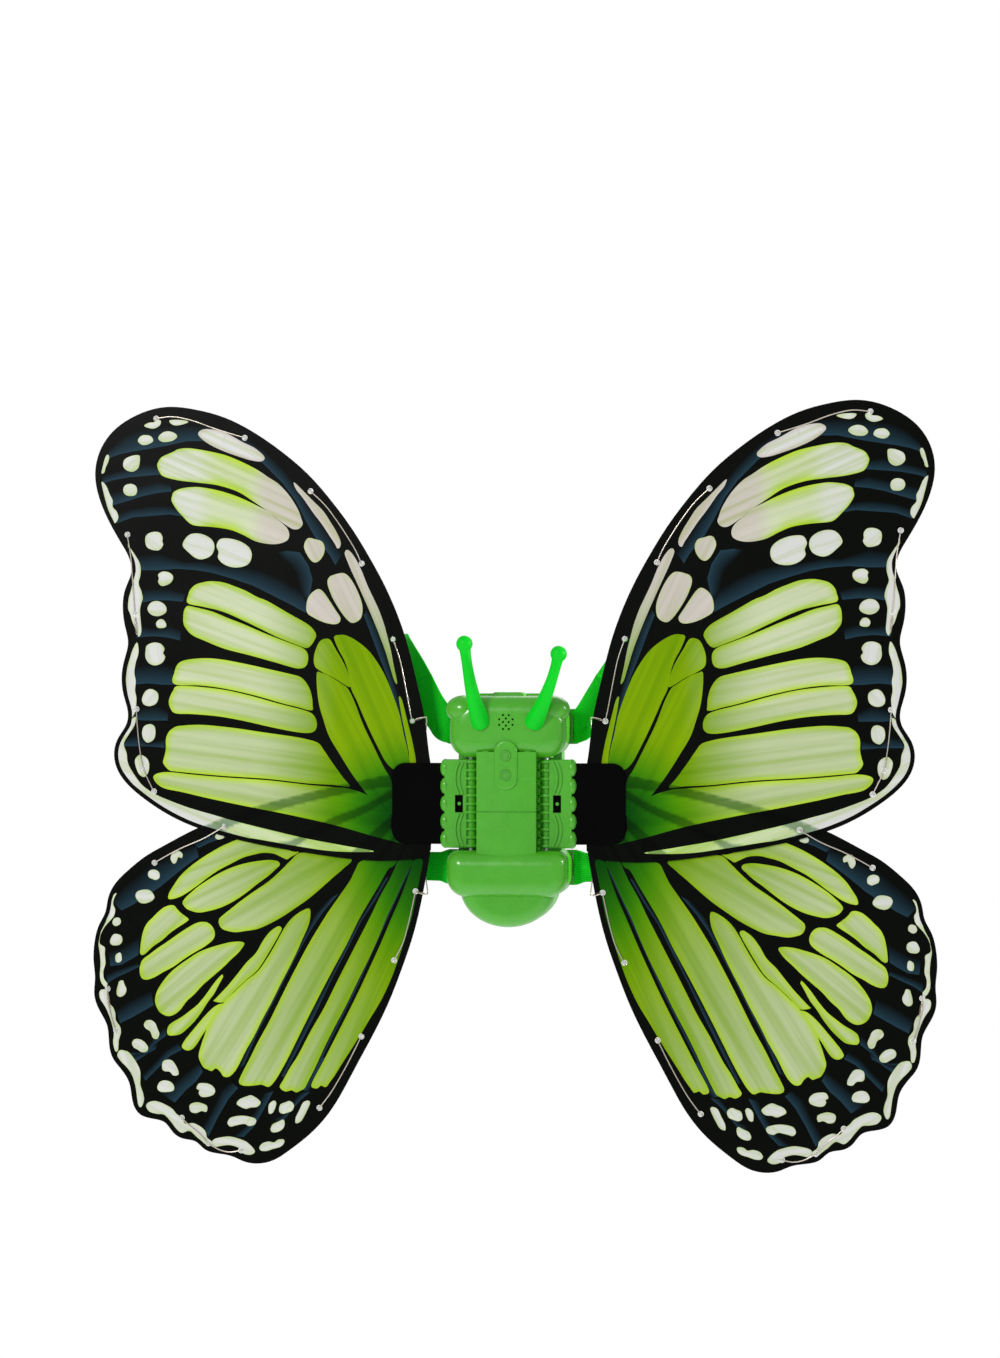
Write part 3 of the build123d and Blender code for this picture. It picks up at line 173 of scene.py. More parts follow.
# Lower wing, in the same way.
LOWER_CELLS = [paired(row) for row in (
    [239.5,-67.5, 239,-63.5, 236,-58.5, 231,-51.5, 224,-45, 215,-38.5, 206,-33, 197,-28.5, 186.5,-25, 176,-27,
     161.5,-30.5, 151,-34, 147,-34, 148.5,-35.5, 153,-38, 155.5,-39.5, 160,-37.5, 165,-35.5, 172.5,-35,
     179.5,-36.5, 186.5,-38.5, 195.5,-43, 204,-47.5, 212,-53, 220,-59, 229,-65, 235.5,-67.5],
    [229.5,-70.5, 228,-67.5, 224.5,-64, 218.5,-59, 209.5,-53, 200.5,-48, 192,-44.5, 183,-42, 174,-40.5,
     167,-40, 161.5,-41, 160.5,-43.5, 163.5,-46.5, 168.5,-51, 176,-56.5, 183,-62, 190,-67, 197,-71, 204,-74,
     211.5,-76, 217.5,-77, 223,-76, 227,-74],
    [203.5,-85, 203.5,-81.5, 200.5,-78.5, 195.5,-74.5, 188.5,-69, 179.5,-62.5, 168.5,-55, 160,-47.5,
     153,-40.5, 146.5,-35, 137,-35.5, 126,-36.5, 110,-39, 115.5,-45.5, 122.5,-51.5, 131.5,-59.5, 140.5,-67,
     149,-73, 158,-79, 167,-84, 176,-88, 184.5,-89.5, 192,-90.5, 198,-89.5, 201.5,-88],
    [259.5,-106.5, 259.5,-101.5, 258.5,-94.5, 257,-89, 254.5,-84.5, 250.5,-80.5, 247,-77, 242.5,-73.5,
     238,-72, 235,-72.5, 233.5,-74.5, 231,-77, 227,-80, 225,-82, 228,-84.5, 233.5,-88, 239,-92, 244,-96.5,
     250.5,-101, 256.5,-106.5],
    [258,-110.5, 253,-106.5, 247,-102, 239.5,-97, 232.5,-92, 225.5,-87.5, 220,-84.5, 216,-83.5, 211.5,-84,
     208,-87, 206.5,-91, 207,-94.5, 209.5,-97.5, 215,-101.5, 222,-105.5, 229,-110, 236,-115, 243.5,-119,
     248.5,-122, 253.5,-124, 257.5,-124, 259.5,-121.5, 260,-116],
    [249,-140, 248.5,-135, 247,-131, 243.5,-125.5, 238,-119, 232,-114, 225.5,-109.5, 218.5,-105, 211.5,-102,
     203.5,-99.5, 195.5,-97.5, 188.5,-97, 185.5,-98, 186.5,-100.5, 190,-105, 195.5,-110, 200.5,-115,
     208,-121.5, 215,-127.5, 221,-134, 226.5,-139, 231,-145, 235.5,-148.5, 240.5,-149.5, 246,-146.5],
    [240.5,-161, 239.5,-156.5, 236,-153.5, 230,-150, 224,-145.5, 218.5,-141, 213,-134.5, 208,-127.5,
     203.5,-122, 201,-120, 200.5,-121.5, 203.5,-127, 207,-133.5, 211.5,-139.5, 216,-146.5, 221,-153,
     226.5,-158.5, 231,-162, 235.5,-163, 239,-163],
    [230,-170.5, 228,-166.5, 224.5,-162, 219.5,-156, 214,-149.5, 208.5,-144, 204,-141, 200.5,-140.5,
     202.5,-144, 206,-149, 210.5,-156, 215,-162, 219,-168.5, 222,-172, 225.5,-173.5, 228.5,-172.5],
    [207.5,-138.5, 206,-137, 197,-127.5, 190,-119, 184,-111.5, 177.5,-105, 172.5,-96.5, 168,-90.5, 163.5,-87,
     161,-86, 159,-87.5, 161,-92, 163.5,-96.5, 168.5,-105, 173.5,-113, 177.5,-118, 184.5,-124, 192,-131,
     198,-137.5, 200.5,-139.5, 204,-139.5],
    [218,-177.5, 216.5,-170.5, 214,-163, 210.5,-154, 206,-146.5, 200,-139.5, 192,-131.5, 184,-124, 176,-117.5,
     169.5,-108.5, 163.5,-98.5, 158,-88.5, 153,-81.5, 147,-76.5, 141,-73.5, 139,-74.5, 139,-80, 140.5,-86,
     145,-96, 149,-105, 154.5,-116, 160,-126.5, 166,-138.5, 172.5,-150.5, 178.5,-162.5, 184.5,-173, 190,-184,
     193.5,-189, 197,-191.5, 200.5,-191, 203,-187.5, 206,-185.5, 208.5,-187.5, 211.5,-186.5, 215,-184.5],
    [189.5,-194.5, 186.5,-187.5, 182,-179, 176,-167, 168.5,-153.5, 161.5,-139.5, 154.5,-125.5, 147.5,-112,
     140.5,-99, 133,-86.5, 126,-75.5, 119,-65.5, 111,-54, 107.5,-47, 103.5,-40.5, 94,-39.5, 80.5,-39.5,
     85.5,-48, 90.5,-57, 97.5,-68.5, 105,-81.5, 113.5,-98.5, 122.5,-115, 131.5,-132, 140.5,-149.5,
     147.5,-163.5, 154.5,-177.5, 160,-187.5, 164.5,-194.5, 168.5,-198, 173,-196.5, 177.5,-197, 183,-197.5,
     187.5,-197],
    [160.5,-198, 158,-193, 153,-184, 147.5,-175.5, 138.5,-158.5, 129.5,-143, 121,-126, 112,-108.5, 104,-93,
     96,-77.5, 90,-65, 83.5,-53.5, 76,-40, 67,-39.5, 72,-50.5, 78,-64, 84.5,-77.5, 90.5,-92, 97.5,-107.5,
     105,-122.5, 113.5,-140, 122.5,-157, 129,-170, 135,-183, 139.5,-192, 143,-198.5, 145.5,-200, 149,-201.5,
     152,-200, 156.5,-201],
    [138,-197.5, 137,-193, 130.5,-181, 122.5,-165.5, 113.5,-148, 105,-131, 97,-114, 89,-96.5, 82,-80, 75,-64,
     69.5,-49, 66,-39.5, 60,-39.5, 62,-51.5, 64.5,-64, 67.5,-78, 71.5,-91.5, 76.5,-106.5, 82,-121.5,
     89,-136.5, 97.5,-150.5, 105,-163, 112,-174, 117.5,-182.5, 121.5,-189, 125.5,-194.5, 128,-197.5,
     131.5,-196.5, 134,-198.5],
)]
LOWER_SPOTS = [paired(row) for row in (
    [279.5,-84, 278,-81.5, 275,-81, 273.5,-83, 274,-85.5, 277,-87, 279,-86],
    [281,-96.5, 279,-93, 276,-92.5, 273,-94, 272.5,-97.5, 274.5,-100, 279,-100.5, 281,-99],
    [277.5,-108.5, 276.5,-106.5, 274,-105.5, 273,-107.5, 273,-111, 275,-112.5, 277,-112],
    [276.5,-132.5, 275.5,-128, 274.5,-125.5, 272,-125, 271,-127.5, 269.5,-131, 270.5,-134.5, 273.5,-136.5,
     276,-135.5],
    [263,-66, 262,-63, 258.5,-61.5, 253.5,-61.5, 250.5,-64, 249.5,-67, 252,-69.5, 256.5,-71, 260.5,-70],
    [254,-49.5, 252,-47.5, 248.5,-47.5, 246,-49.5, 246,-53, 248.5,-54.5, 250.5,-54, 253.5,-52.5],
    [238,-39.5, 236.5,-35, 234,-33.5, 232,-34, 229.5,-36, 230,-39, 232.5,-38.5, 234,-42, 236,-43],
    [206,-23, 203.5,-21.5, 200,-23.5, 200.5,-25, 204,-26, 206,-25],
    [257,-156, 255.5,-153, 252,-152.5, 249,-154.5, 247.5,-158, 246,-162, 247.5,-165.5, 250.5,-165,
     252.5,-160.5, 255.5,-158.5],
    [265.5,-168.5, 263.5,-166, 260,-166, 256.5,-168, 254,-171.5, 255,-174.5, 258.5,-175, 262,-173,
     264.5,-171.5],
    [244,-186, 243.5,-181.5, 240.5,-180, 237,-180.5, 234.5,-183.5, 232.5,-187.5, 232.5,-190.5, 236,-191,
     238.5,-188.5, 242.5,-188],
    [247.5,-200, 246,-196, 242.5,-194.5, 238,-195.5, 235.5,-198.5, 236,-201.5, 239.5,-202.5, 245,-202.5],
    [219.5,-200, 218,-196.5, 214,-196, 209.5,-197, 206.5,-200, 207,-203.5, 211.5,-205.5, 216,-205.5, 218,-203,
     217.5,-201],
    [224.5,-214, 224,-211, 220,-209.5, 216,-210, 212,-212, 212.5,-216, 216,-215.5, 219.5,-217, 223,-216.5],
    [191,-210, 189,-207, 184.5,-205, 180.5,-204, 176,-206.5, 174,-209, 176.5,-212, 181,-212.5, 184.5,-213.5,
     188.5,-212],
    [197.5,-223.5, 195.5,-220, 190,-218.5, 184,-218.5, 177.5,-220.5, 178,-224, 182,-225.5, 185.5,-224,
     191,-225, 195.5,-226],
    [168.5,-214, 168,-210, 165,-207.5, 163,-208.5, 163.5,-212, 165.5,-216, 168,-216.5],
    [161,-213.5, 160,-210, 156.5,-208.5, 153.5,-207.5, 150.5,-210, 151.5,-214, 154.5,-215.5, 158,-216.5,
     160.5,-215.5],
    [167,-227.5, 165.5,-224, 161.5,-222, 158,-220.5, 157,-223, 158,-226.5, 161.5,-229, 165.5,-229.5],
    [149.5,-222, 149,-218.5, 146.5,-213.5, 144,-208.5, 140.5,-207, 139,-208.5, 140.5,-212.5, 143,-217.5,
     145.5,-221.5, 148.5,-223],
)]
LOWER_MARGINS = [paired(row) for row in (
    [276.5,-64, 278.5,-68, 279,-72, 277.5,-75.5, 278.5,-80, 281.5,-83.5, 285,-87.5, 287.5,-92, 288.5,-95.5,
     288.5,-99.5, 285,-102, 285,-106.5, 284.5,-113.5, 286,-118.5, 285.5,-124, 283,-127.5, 284.5,-130,
     287.5,-126.5, 288.5,-121.5, 288,-113.5, 288.5,-106.5, 289.5,-99.5, 289,-93.5, 286.5,-88.5, 284,-83.5,
     282.5,-77.5, 281,-70.5, 278.5,-65],
    [288.5,-132.5, 285,-131.5, 282,-135.5, 281.5,-141, 279,-144, 277.5,-148, 277,-153, 274,-157.5, 273.5,-162,
     275,-167, 275.5,-174, 277.5,-174.5, 279,-168.5, 278.5,-162, 280,-155, 282.5,-148, 285,-143,
     288.5,-137.5],
    [276,-177.5, 274.5,-174, 271,-174, 267.5,-175.5, 263.5,-180.5, 260,-187, 259.5,-193, 259.5,-198,
     257.5,-204, 257,-209, 259,-213.5, 261,-212, 262,-206, 263,-199, 265.5,-191, 269,-186, 273.5,-181.5],
    [255.5,-212.5, 253.5,-210, 249.5,-209, 245,-210, 240.5,-212, 236.5,-214.5, 234,-217.5, 230,-220.5,
     227.5,-224.5, 222,-224, 216.5,-226.5, 213,-230, 212,-234, 208.5,-237, 210.5,-239.5, 215,-237.5,
     219.5,-233.5, 224.5,-229.5, 230,-231, 234,-228, 238,-223, 242.5,-218.5, 247.5,-218, 253,-216.5],
    [209,-238, 207,-235, 201.5,-233.5, 195.5,-233, 189,-234.5, 184,-236.5, 179.5,-240.5, 178,-243.5,
     181.5,-245.5, 186.5,-244.5, 189,-241, 195.5,-239, 201.5,-239.5, 207,-240.5],
    [175,-240.5, 173,-237.5, 168.5,-236, 164.5,-236.5, 161.5,-234.5, 157.5,-234.5, 157.5,-237, 160,-239.5,
     165,-241, 169.5,-242.5, 173.5,-242.5],
)]
LOWER_BANDS = [(paired(clean), paired(lost)) for clean, lost in (
    ([273,-76, 265,-72, 256,-66, 245,-59, 239,-54, 229,-46, 218,-38],
     [280,-69, 272,-60, 263,-53, 254,-45, 242,-40, 229,-33, 220,-30]),
    ([218,-32, 210,-28, 201,-25, 192,-22],
     [222,-29, 215,-24, 208,-20, 201,-19]),
    ([281,-115, 273,-114, 266,-110, 261,-107],
     [282,-105, 273,-102, 266,-98, 260,-94]),
    ([283,-127, 277,-123, 268,-119, 260,-115],
     [284,-121, 277,-118, 268,-115, 262,-113]),
    ([274,-155, 266,-151, 257,-146, 250,-142],
     [277,-146, 270,-141, 261,-136, 252,-132]),
    ([277,-180, 270,-177, 257,-177, 249,-173],
     [275,-175, 266,-175, 256,-175, 247,-167]),
    ([265,-183, 256,-177, 249,-169, 241,-163],
     [266,-177, 258,-176, 250,-165, 242,-157]),
    ([256,-195, 247,-186, 238,-177, 230,-173],
     [258,-191, 249,-182, 242,-174, 233,-168]),
    ([235,-210, 227,-201, 220,-195, 215,-188],
     [245,-203, 234,-195, 226,-188, 218,-182]),
    ([211,-233, 204,-219, 197,-207, 190,-199],
     [215,-226, 208,-214, 202,-201, 195,-195]),
    ([186,-233, 179,-226, 172,-214, 165,-201],
     [194,-233, 185,-226, 178,-215, 172,-203]),
    ([160,-224, 153,-215, 146,-207, 139,-201],
     [165,-220, 158,-217, 151,-208, 146,-202]),
    ([186,-183, 176,-160, 165,-139, 153,-115, 144,-98, 137,-86, 130,-76, 119,-63],
     [190,-186, 179,-160, 169,-139, 158,-119, 147,-100, 139,-84, 135,-77, 126,-67]),
    ([158,-191, 147,-170, 135,-146, 123,-121, 112,-100, 103,-82, 93,-67, 84,-51],
     [160,-190, 149,-167, 137,-143, 124,-119, 114,-98, 105,-82, 96,-68, 87,-53]),
    ([139,-195, 130,-176, 117,-150, 105,-126, 94,-101, 85,-81, 76,-61, 69,-46],
     [141,-195, 131,-174, 119,-149, 107,-124, 96,-100, 87,-79, 79,-63, 72,-46]),
    ([144,-200, 139,-193, 130,-177],
     [140,-201, 135,-193, 126,-177]),
)]
# The part of the lower wings that the upper wings cover: the cells run on to the root.
HIDDEN_CELLS = [paired(row) for row in (
    [200,-19, 176,-9, 150,-1, 120,6, 96,10.5, 80,11, 98,-1, 125,-12, 155,-28, 180,-26],
    [149,-30, 125,-17, 100,-6, 84,3, 72,6, 79,-7, 94,-20, 114,-38, 132,-38],
    [102,-40, 88,-23, 77,-11, 70,-3, 72,-13, 83,-27, 95,-42],
    [91,-42, 80,-27, 71,-14, 66,-7, 67,-17, 73,-30, 81,-44],
    [79,-44, 71,-31, 65.5,-18, 62.5,-12, 63,-22, 66.5,-33, 71,-46],
)]

# ---------------------------------------------------------------- colours
def rgb(r, g, b):
    """An 8-bit display colour as linear light."""
    return tuple((c / 255 / 12.92) if c <= 10 else ((c / 255 + 0.055) / 1.055) ** 2.4 for c in (r, g, b))


BLACK = np.array(rgb(6, 8, 5))
NAVY = np.array(rgb(34, 62, 76))
WHITE = np.array(rgb(218, 220, 212))
BEIGE = np.array(rgb(203, 197, 184))
PALE = np.array(rgb(205, 216, 176))
LIME = np.array(rgb(178, 214, 14))
OLIVE = np.array(rgb(126, 165, 0))
GREEN = np.array(rgb(52, 132, 2))
ROOT_GREEN = np.array(rgb(2, 70, 6))


# ---------------------------------------------------------------- small geometry helpers
def between(a, b, c, d, t):
    """A point on the smooth curve from b to c, which comes from a and goes on to d."""
    return 0.5 * (2 * b + (c - a) * t + (2 * a - 5 * b + 4 * c - d) * t * t
                  + (3 * b - a - 3 * c + d) * t ** 3)


def closed_curve(points, step=1.6):
    """A smooth closed line through given points."""
    p = np.array(points, float)
    out = []
    for a, b, c, d in zip(np.roll(p, 1, 0), p, np.roll(p, -1, 0), np.roll(p, -2, 0)):
        count = max(1, math.ceil(np.linalg.norm(c - b) / step))
        for t in np.arange(count) / count:
            out.append(between(a, b, c, d, t))
    return np.array(out)


def anticlockwise(loop):
    """The loop, turned round if it runs clockwise."""
    x, y = loop[:, 0], loop[:, 1]
    area = np.sum(x * np.roll(y, -1) - np.roll(x, -1) * y)
    return loop if area > 0 else loop[::-1]


def inset_loop(loop, depth):
    """An anticlockwise closed loop, moved inward."""
    even = closed_curve(loop[::3], 3.0)
    along = np.roll(even, -2, axis=0) - np.roll(even, 2, axis=0)
    along /= np.linalg.norm(along, axis=1)[:, None]
    return even + np.stack([-along[:, 1], along[:, 0]], axis=1) * depth


def inside(points, loop):
    """Which points lie inside a closed loop."""
    x, y = points[:, 0, None], points[:, 1, None]
    x0, y0 = loop[:, 0][None], loop[:, 1][None]
    x1, y1 = np.roll(loop[:, 0], -1)[None], np.roll(loop[:, 1], -1)[None]
    crosses = (y0 > y) != (y1 > y)
    rise = np.where(y1 == y0, 1e-9, y1 - y0)
    return (np.sum(crosses & (x < (x1 - x0) * (y - y0) / rise + x0), axis=1) % 2) == 1


def distance_to(points, line, closed):
    """Each point's distance to a line of straight pieces."""
    a = line if closed else line[:-1]
    b = np.roll(line, -1, axis=0) if closed else line[1:]
    best = np.full(len(points), 1e9)
    for start in range(0, len(points), 400):
        p = points[start:start + 400, None]
        d = (b - a)[None]
        t = np.clip(np.sum((p - a[None]) * d, axis=2) / np.maximum(np.sum(d * d, axis=2), 1e-9), 0, 1)
        best[start:start + 400] = np.min(np.linalg.norm(p - a[None] - t[..., None] * d, axis=2), axis=1)
    return best


def smooth(t):
    """A soft step from 0 to 1."""
    t = np.clip(t, 0, 1)
    return t * t * (3 - 2 * t)


def mix(a, b, t):
    """Blends two colours, point by point."""
    t = np.asarray(t)[:, None]
    return a * (1 - t) + b * t


def film_loops(node):
    """The outline and the holes of one CAD film's front face, as (outward, up) loops in mm."""
    mesh = frame["nodes"][node].data
    y_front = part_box(node)[0].y
    key, count = {}, {}
    for polygon in mesh.polygons:
        corners = [mesh.vertices[i].co for i in polygon.vertices]
        if max(c.y for c in corners) > y_front + 1e-5:
            continue
        names = []
        for c in corners:
            name = (round(abs(c.x) * 1e6), round(c.z * 1e6))
            key.setdefault(name, (abs(c.x) * 1000, c.z * 1000))
            names.append(name)
        for a, b in zip(names, names[1:] + names[:1]):
            if a != b:
                count[frozenset((a, b))] = count.get(frozenset((a, b)), 0) + 1
    following = {}
    for edge, times in count.items():
        if times == 1:
            a, b = tuple(edge)
            following.setdefault(a, []).append(b)
            following.setdefault(b, []).append(a)
    loops, seen = [], set()
    for start in sorted(following):
        if start in seen:
            continue
        loop, here, last = [], start, None
        while here not in seen:
            seen.add(here)
            loop.append(key[here])
            onward = [n for n in following[here] if n != last and n not in seen]
            if not onward:
                break
            last, here = here, onward[0]
        loops.append(np.array(loop))
    loops.sort(key=lambda l: -np.ptp(l[:, 0]))
    return anticlockwise(loops[0]), [anticlockwise(l) for l in loops[1:] if len(l) > 5]


def piece_of(name, mesh, material, body):
    """A new piece that rides on a body."""
    mesh.materials.append(MATERIALS[material])
    piece = bpy.data.objects.new(name, mesh)
    bpy.context.scene.collection.objects.link(piece)
    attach(piece, body)
    return piece


# ---------------------------------------------------------------- printed films
def cell_colour(p, rim, upper):
    """A lime cell: saturated at its rim, paler inside and outward, deep green at the root."""
    if upper:
        root = np.linalg.norm((p - np.array([66.0, -8.0])) * np.array([0.80, 1.0]), axis=1)
        reach = smooth((p[:, 0] - 118) / 62)
        whiteness = 0.66 + 0.32 * smooth((p[:, 1] - 15) / 90)
    else:
        root = np.linalg.norm((p - np.array([58.0, -14.0])) * np.array([1.1, 0.62]), axis=1)
        reach = smooth((0.9 * (p[:, 0] - 92) - 0.20 * (p[:, 1] + 40)) / 135)
        whiteness = 0.70
    body = mix(OLIVE, PALE, whiteness * reach)
    edge = mix(OLIVE, LIME, reach)
    colour = mix(edge, body, 0.10 + 0.90 * smooth(rim / 5.0))
    if upper:
        high = smooth((p[:, 1] - 150) / 25)
        inner = high * (1 - smooth((p[:, 0] - 168) / 16))
        colour = mix(colour, BEIGE, 0.9 * inner)
        patch = high * smooth(1.5 - np.abs(p[:, 0] - 196 + 0.25 * (p[:, 1] - 215)) / 15)
        colour = mix(colour, LIME, 0.50 * patch * smooth(1.2 - rim / 9))
        colour = mix(colour, WHITE, 0.70 * high * smooth((p[:, 0] - 206) / 16) * smooth(rim / 2))
        return mix(ROOT_GREEN, mix(GREEN, colour, smooth((root - 26) / 42)), smooth((root - 12) / 30))
    return mix(ROOT_GREEN, mix(GREEN, colour, smooth((root - 36) / 52)), smooth((root - 14) / 44))


def band_colour(p, sharp, fade):
    """A navy band: clean along its sharp line, lost in the black along the other."""
    near, far = distance_to(p, np.array(sharp, float), False), distance_to(p, np.array(fade, float), False)
    return mix(NAVY, BLACK, (near / np.maximum(near + far, 1e-6)) ** 0.8)


def white_colour(p):
    """White print, duller near the leading edge and greener toward the root."""
    leading = (1 - smooth((p[:, 0] - 130) / 60)) * smooth((p[:, 1] - 90) / 30)
    low = (1 - smooth((p[:, 0] - 90) / 120)) * (1 - smooth((p[:, 1] + 5) / 25)) * smooth((p[:, 1] + 60) / 20)
    return mix(mix(WHITE, BEIGE, leading), LIME, 0.45 * low)


def under_shade(points, other):
    """Painted shade: how much the other film, seen through this one, darkens its print where they lie over each
    other.
    """
    outline, cells = other
    covered = inside(points, outline)
    rim = smooth(distance_to(points[covered], outline, True) / 1.2)
    light = np.zeros(len(rim))
    for cell in cells:
        deep = smooth(distance_to(points[covered], cell, True) / 1.4)
        light = np.maximum(light, np.where(inside(points[covered], cell), deep, 0))
    # Painted shade factors, where the other film's black print or its clear cells lie behind this one.
    black, lime = np.array([0.34, 0.46, 0.32]), np.array([0.88, 1.0, 0.66])
    shade = np.ones((len(points), 3))
    shade[covered] = 1 - rim[:, None] * (1 - (black + (lime - black) * light[:, None]))
    return shade


LAYERS = ["bands", "margins", "slivers", "cells", "spots"]      # what is printed over what
RIM = 3.0                   # plain black round every film, in mm
MESH_STEP = 2.3             # between the film mesh's inner points
CURVE_STEP = {"spots": 1.2}  # between a printed outline's points, where it isn't 1.8
NEAREST = 0.75              # no inner point comes nearer to a printed line


def film(node, body, side, print_of, other):
    """One printed film as a mesh of small triangles, with the print and the painted shade of the other film in
    its corners.
    """
    outline, holes = film_loops(node)
    regions = [("hole", h, None) for h in holes] + [("inner", inset_loop(outline, RIM), None)]
    for sharp, fade in print_of["bands"]:
        regions.append(("bands", np.array(list(sharp) + list(fade)[::-1], float), (sharp, fade)))
    for kind in LAYERS[1:]:
        for points in print_of[kind]:
            regions.append((kind, closed_curve(points, CURVE_STEP.get(kind, 1.8)), None))
    pale_loop = next(r[1] for r in regions if r[0] == "cells")
    # The other film's outline and cells as lines in the mesh, so that the painted shade follows them cleanly.
    regions += [("under", anticlockwise(loop), None) for loop in [other[0], *other[1]]]
    loops = [outline] + [anticlockwise(r[1]) for r in regions]
    fixed = np.concatenate(loops)
    low, high = outline.min(0), outline.max(0)
    grid = []
    for j, v in enumerate(np.arange(low[1], high[1], MESH_STEP * 0.87)):
        us = np.arange(low[0] + (MESH_STEP / 2 if j % 2 else 0), high[0], MESH_STEP)
        grid.append(np.stack([us, np.full(len(us), v)], axis=1))
    grid = np.concatenate(grid)
    grid = grid[inside(grid, outline)]
    tree = KDTree(len(fixed))
    for i, (u, v) in enumerate(fixed):
        tree.insert((u, v, 0), i)
    tree.balance()
    grid = np.array([g for g in grid if tree.find((g[0], g[1], 0))[2] > NEAREST])
    faces, start = [], 0
    for loop in loops:
        faces.append(list(range(start, start + len(loop))))
        start += len(loop)
    points = [Vector(p) for p in np.concatenate([fixed, grid])]
    verts, _, tris, _, _, owners = delaunay_2d_cdt(points, [], faces, 1, 1e-4, True)
    xy = np.array([v[:] for v in verts])
    kept, owner = [], []
    for tri, names in zip(tris, owners):
        kinds = {n: regions[n - 1][0] for n in names if n > 0}
        if "hole" in kinds.values() or 0 not in names or len(tri) != 3:
            continue
        layers = [(LAYERS.index(kind), n) for n, kind in kinds.items() if kind in LAYERS]
        kept.append(tri)
        owner.append(max(layers)[1] if layers and "inner" in kinds.values() else 0)
    kept, owner = np.array(kept), np.array(owner)

    corner = xy[kept.ravel()]
    colour = np.tile(BLACK, (len(corner), 1))
    grain = np.zeros((len(corner), 3))
    grain[:, :2] = corner / 10
    clear = np.zeros(len(corner))
    whose = np.repeat(owner, 3)
    for n, (kind, loop, extra) in enumerate(regions, start=1):
        mask = whose == n
        if not mask.any():
            continue
        p = corner[mask]
        centre = loop.mean(0)
        _, _, axes = np.linalg.svd(loop - centre, full_matrices=False)
        local = (p - centre) @ axes.T
        seed = n if kind == "bands" else n * 1.7
        grain[mask] = np.stack([local[:, 1], local[:, 0] / 30, np.full(len(p), seed)], axis=1)
        if kind == "bands":
            colour[mask] = band_colour(p, *extra)
            continue
        rim = distance_to(p, loop, True)
        if kind == "cells":
            pale = print_of["upper"] and loop is pale_loop
            colour[mask] = (mix(BEIGE, WHITE, smooth(rim / 3)) if pale
                            else cell_colour(p, rim, print_of["upper"]))
        elif kind == "slivers":
            colour[mask] = mix(OLIVE, BEIGE, smooth((p[:, 1] - 60) / 110))
        else:
            colour[mask] = mix(LIME, white_colour(p), 0.62 + 0.38 * smooth(rim / 0.9))
        clear[mask] = 1 if kind in ("cells", "slivers") else 0.8

    # Painted shade: the other film, seen through this one, darkens the print where they overlap.
    colour *= under_shade(xy, other)[kept.ravel()]

    sign = -1 if side == "left" else 1
    y_front, y_back = (end.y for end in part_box(node))
    count = len(xy)
    front = np.stack([sign * xy[:, 0] / 1000, np.full(count, y_front), xy[:, 1] / 1000], axis=1)
    back = front.copy()
    back[:, 1] = y_back
    turn = kept if side == "right" else kept[:, ::-1]
    sheet = [tuple(t) for t in turn]
    rear_sheet = [tuple(count + i for i in t[::-1]) for t in turn]
    edges = {e: None for a, b, c in turn for e in ((a, b), (b, c), (c, a))}
    walls = [(b, a, count + a, count + b) for a, b in edges if (b, a) not in edges]
    mesh = bpy.data.meshes.new(f"film_{node}")
    mesh.from_pydata(np.concatenate([front, back]).tolist(), [], sheet + rear_sheet + walls)

    def both_faces(values, edge):
        """Corner values for the front, the back and the edge walls."""
        width = values.shape[1]
        turned = values.reshape(-1, 3, width)[:, ::-1].reshape(-1, width)
        front_values, back_values = (values, turned) if side == "right" else (turned, values)
        return np.concatenate([front_values, back_values, np.tile(edge, (4 * len(walls), 1))])

    inks = both_faces(np.hstack([colour, np.ones((len(colour), 1))]), (*BLACK, 1))
    mesh.color_attributes.new("print", "FLOAT_COLOR", "CORNER").data.foreach_set("color", inks.ravel())
    for name, kind, socket, values, edge in (("grain", "FLOAT_VECTOR", "vector", grain, (0, 0, 0)),
                                             ("clear", "FLOAT", "value", clear[:, None], (0,))):
        mesh.attributes.new(name, kind, "CORNER").data.foreach_set(socket, both_faces(values, edge).ravel())
    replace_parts(piece_of(f"printed_{node}", mesh, "film", body), node)


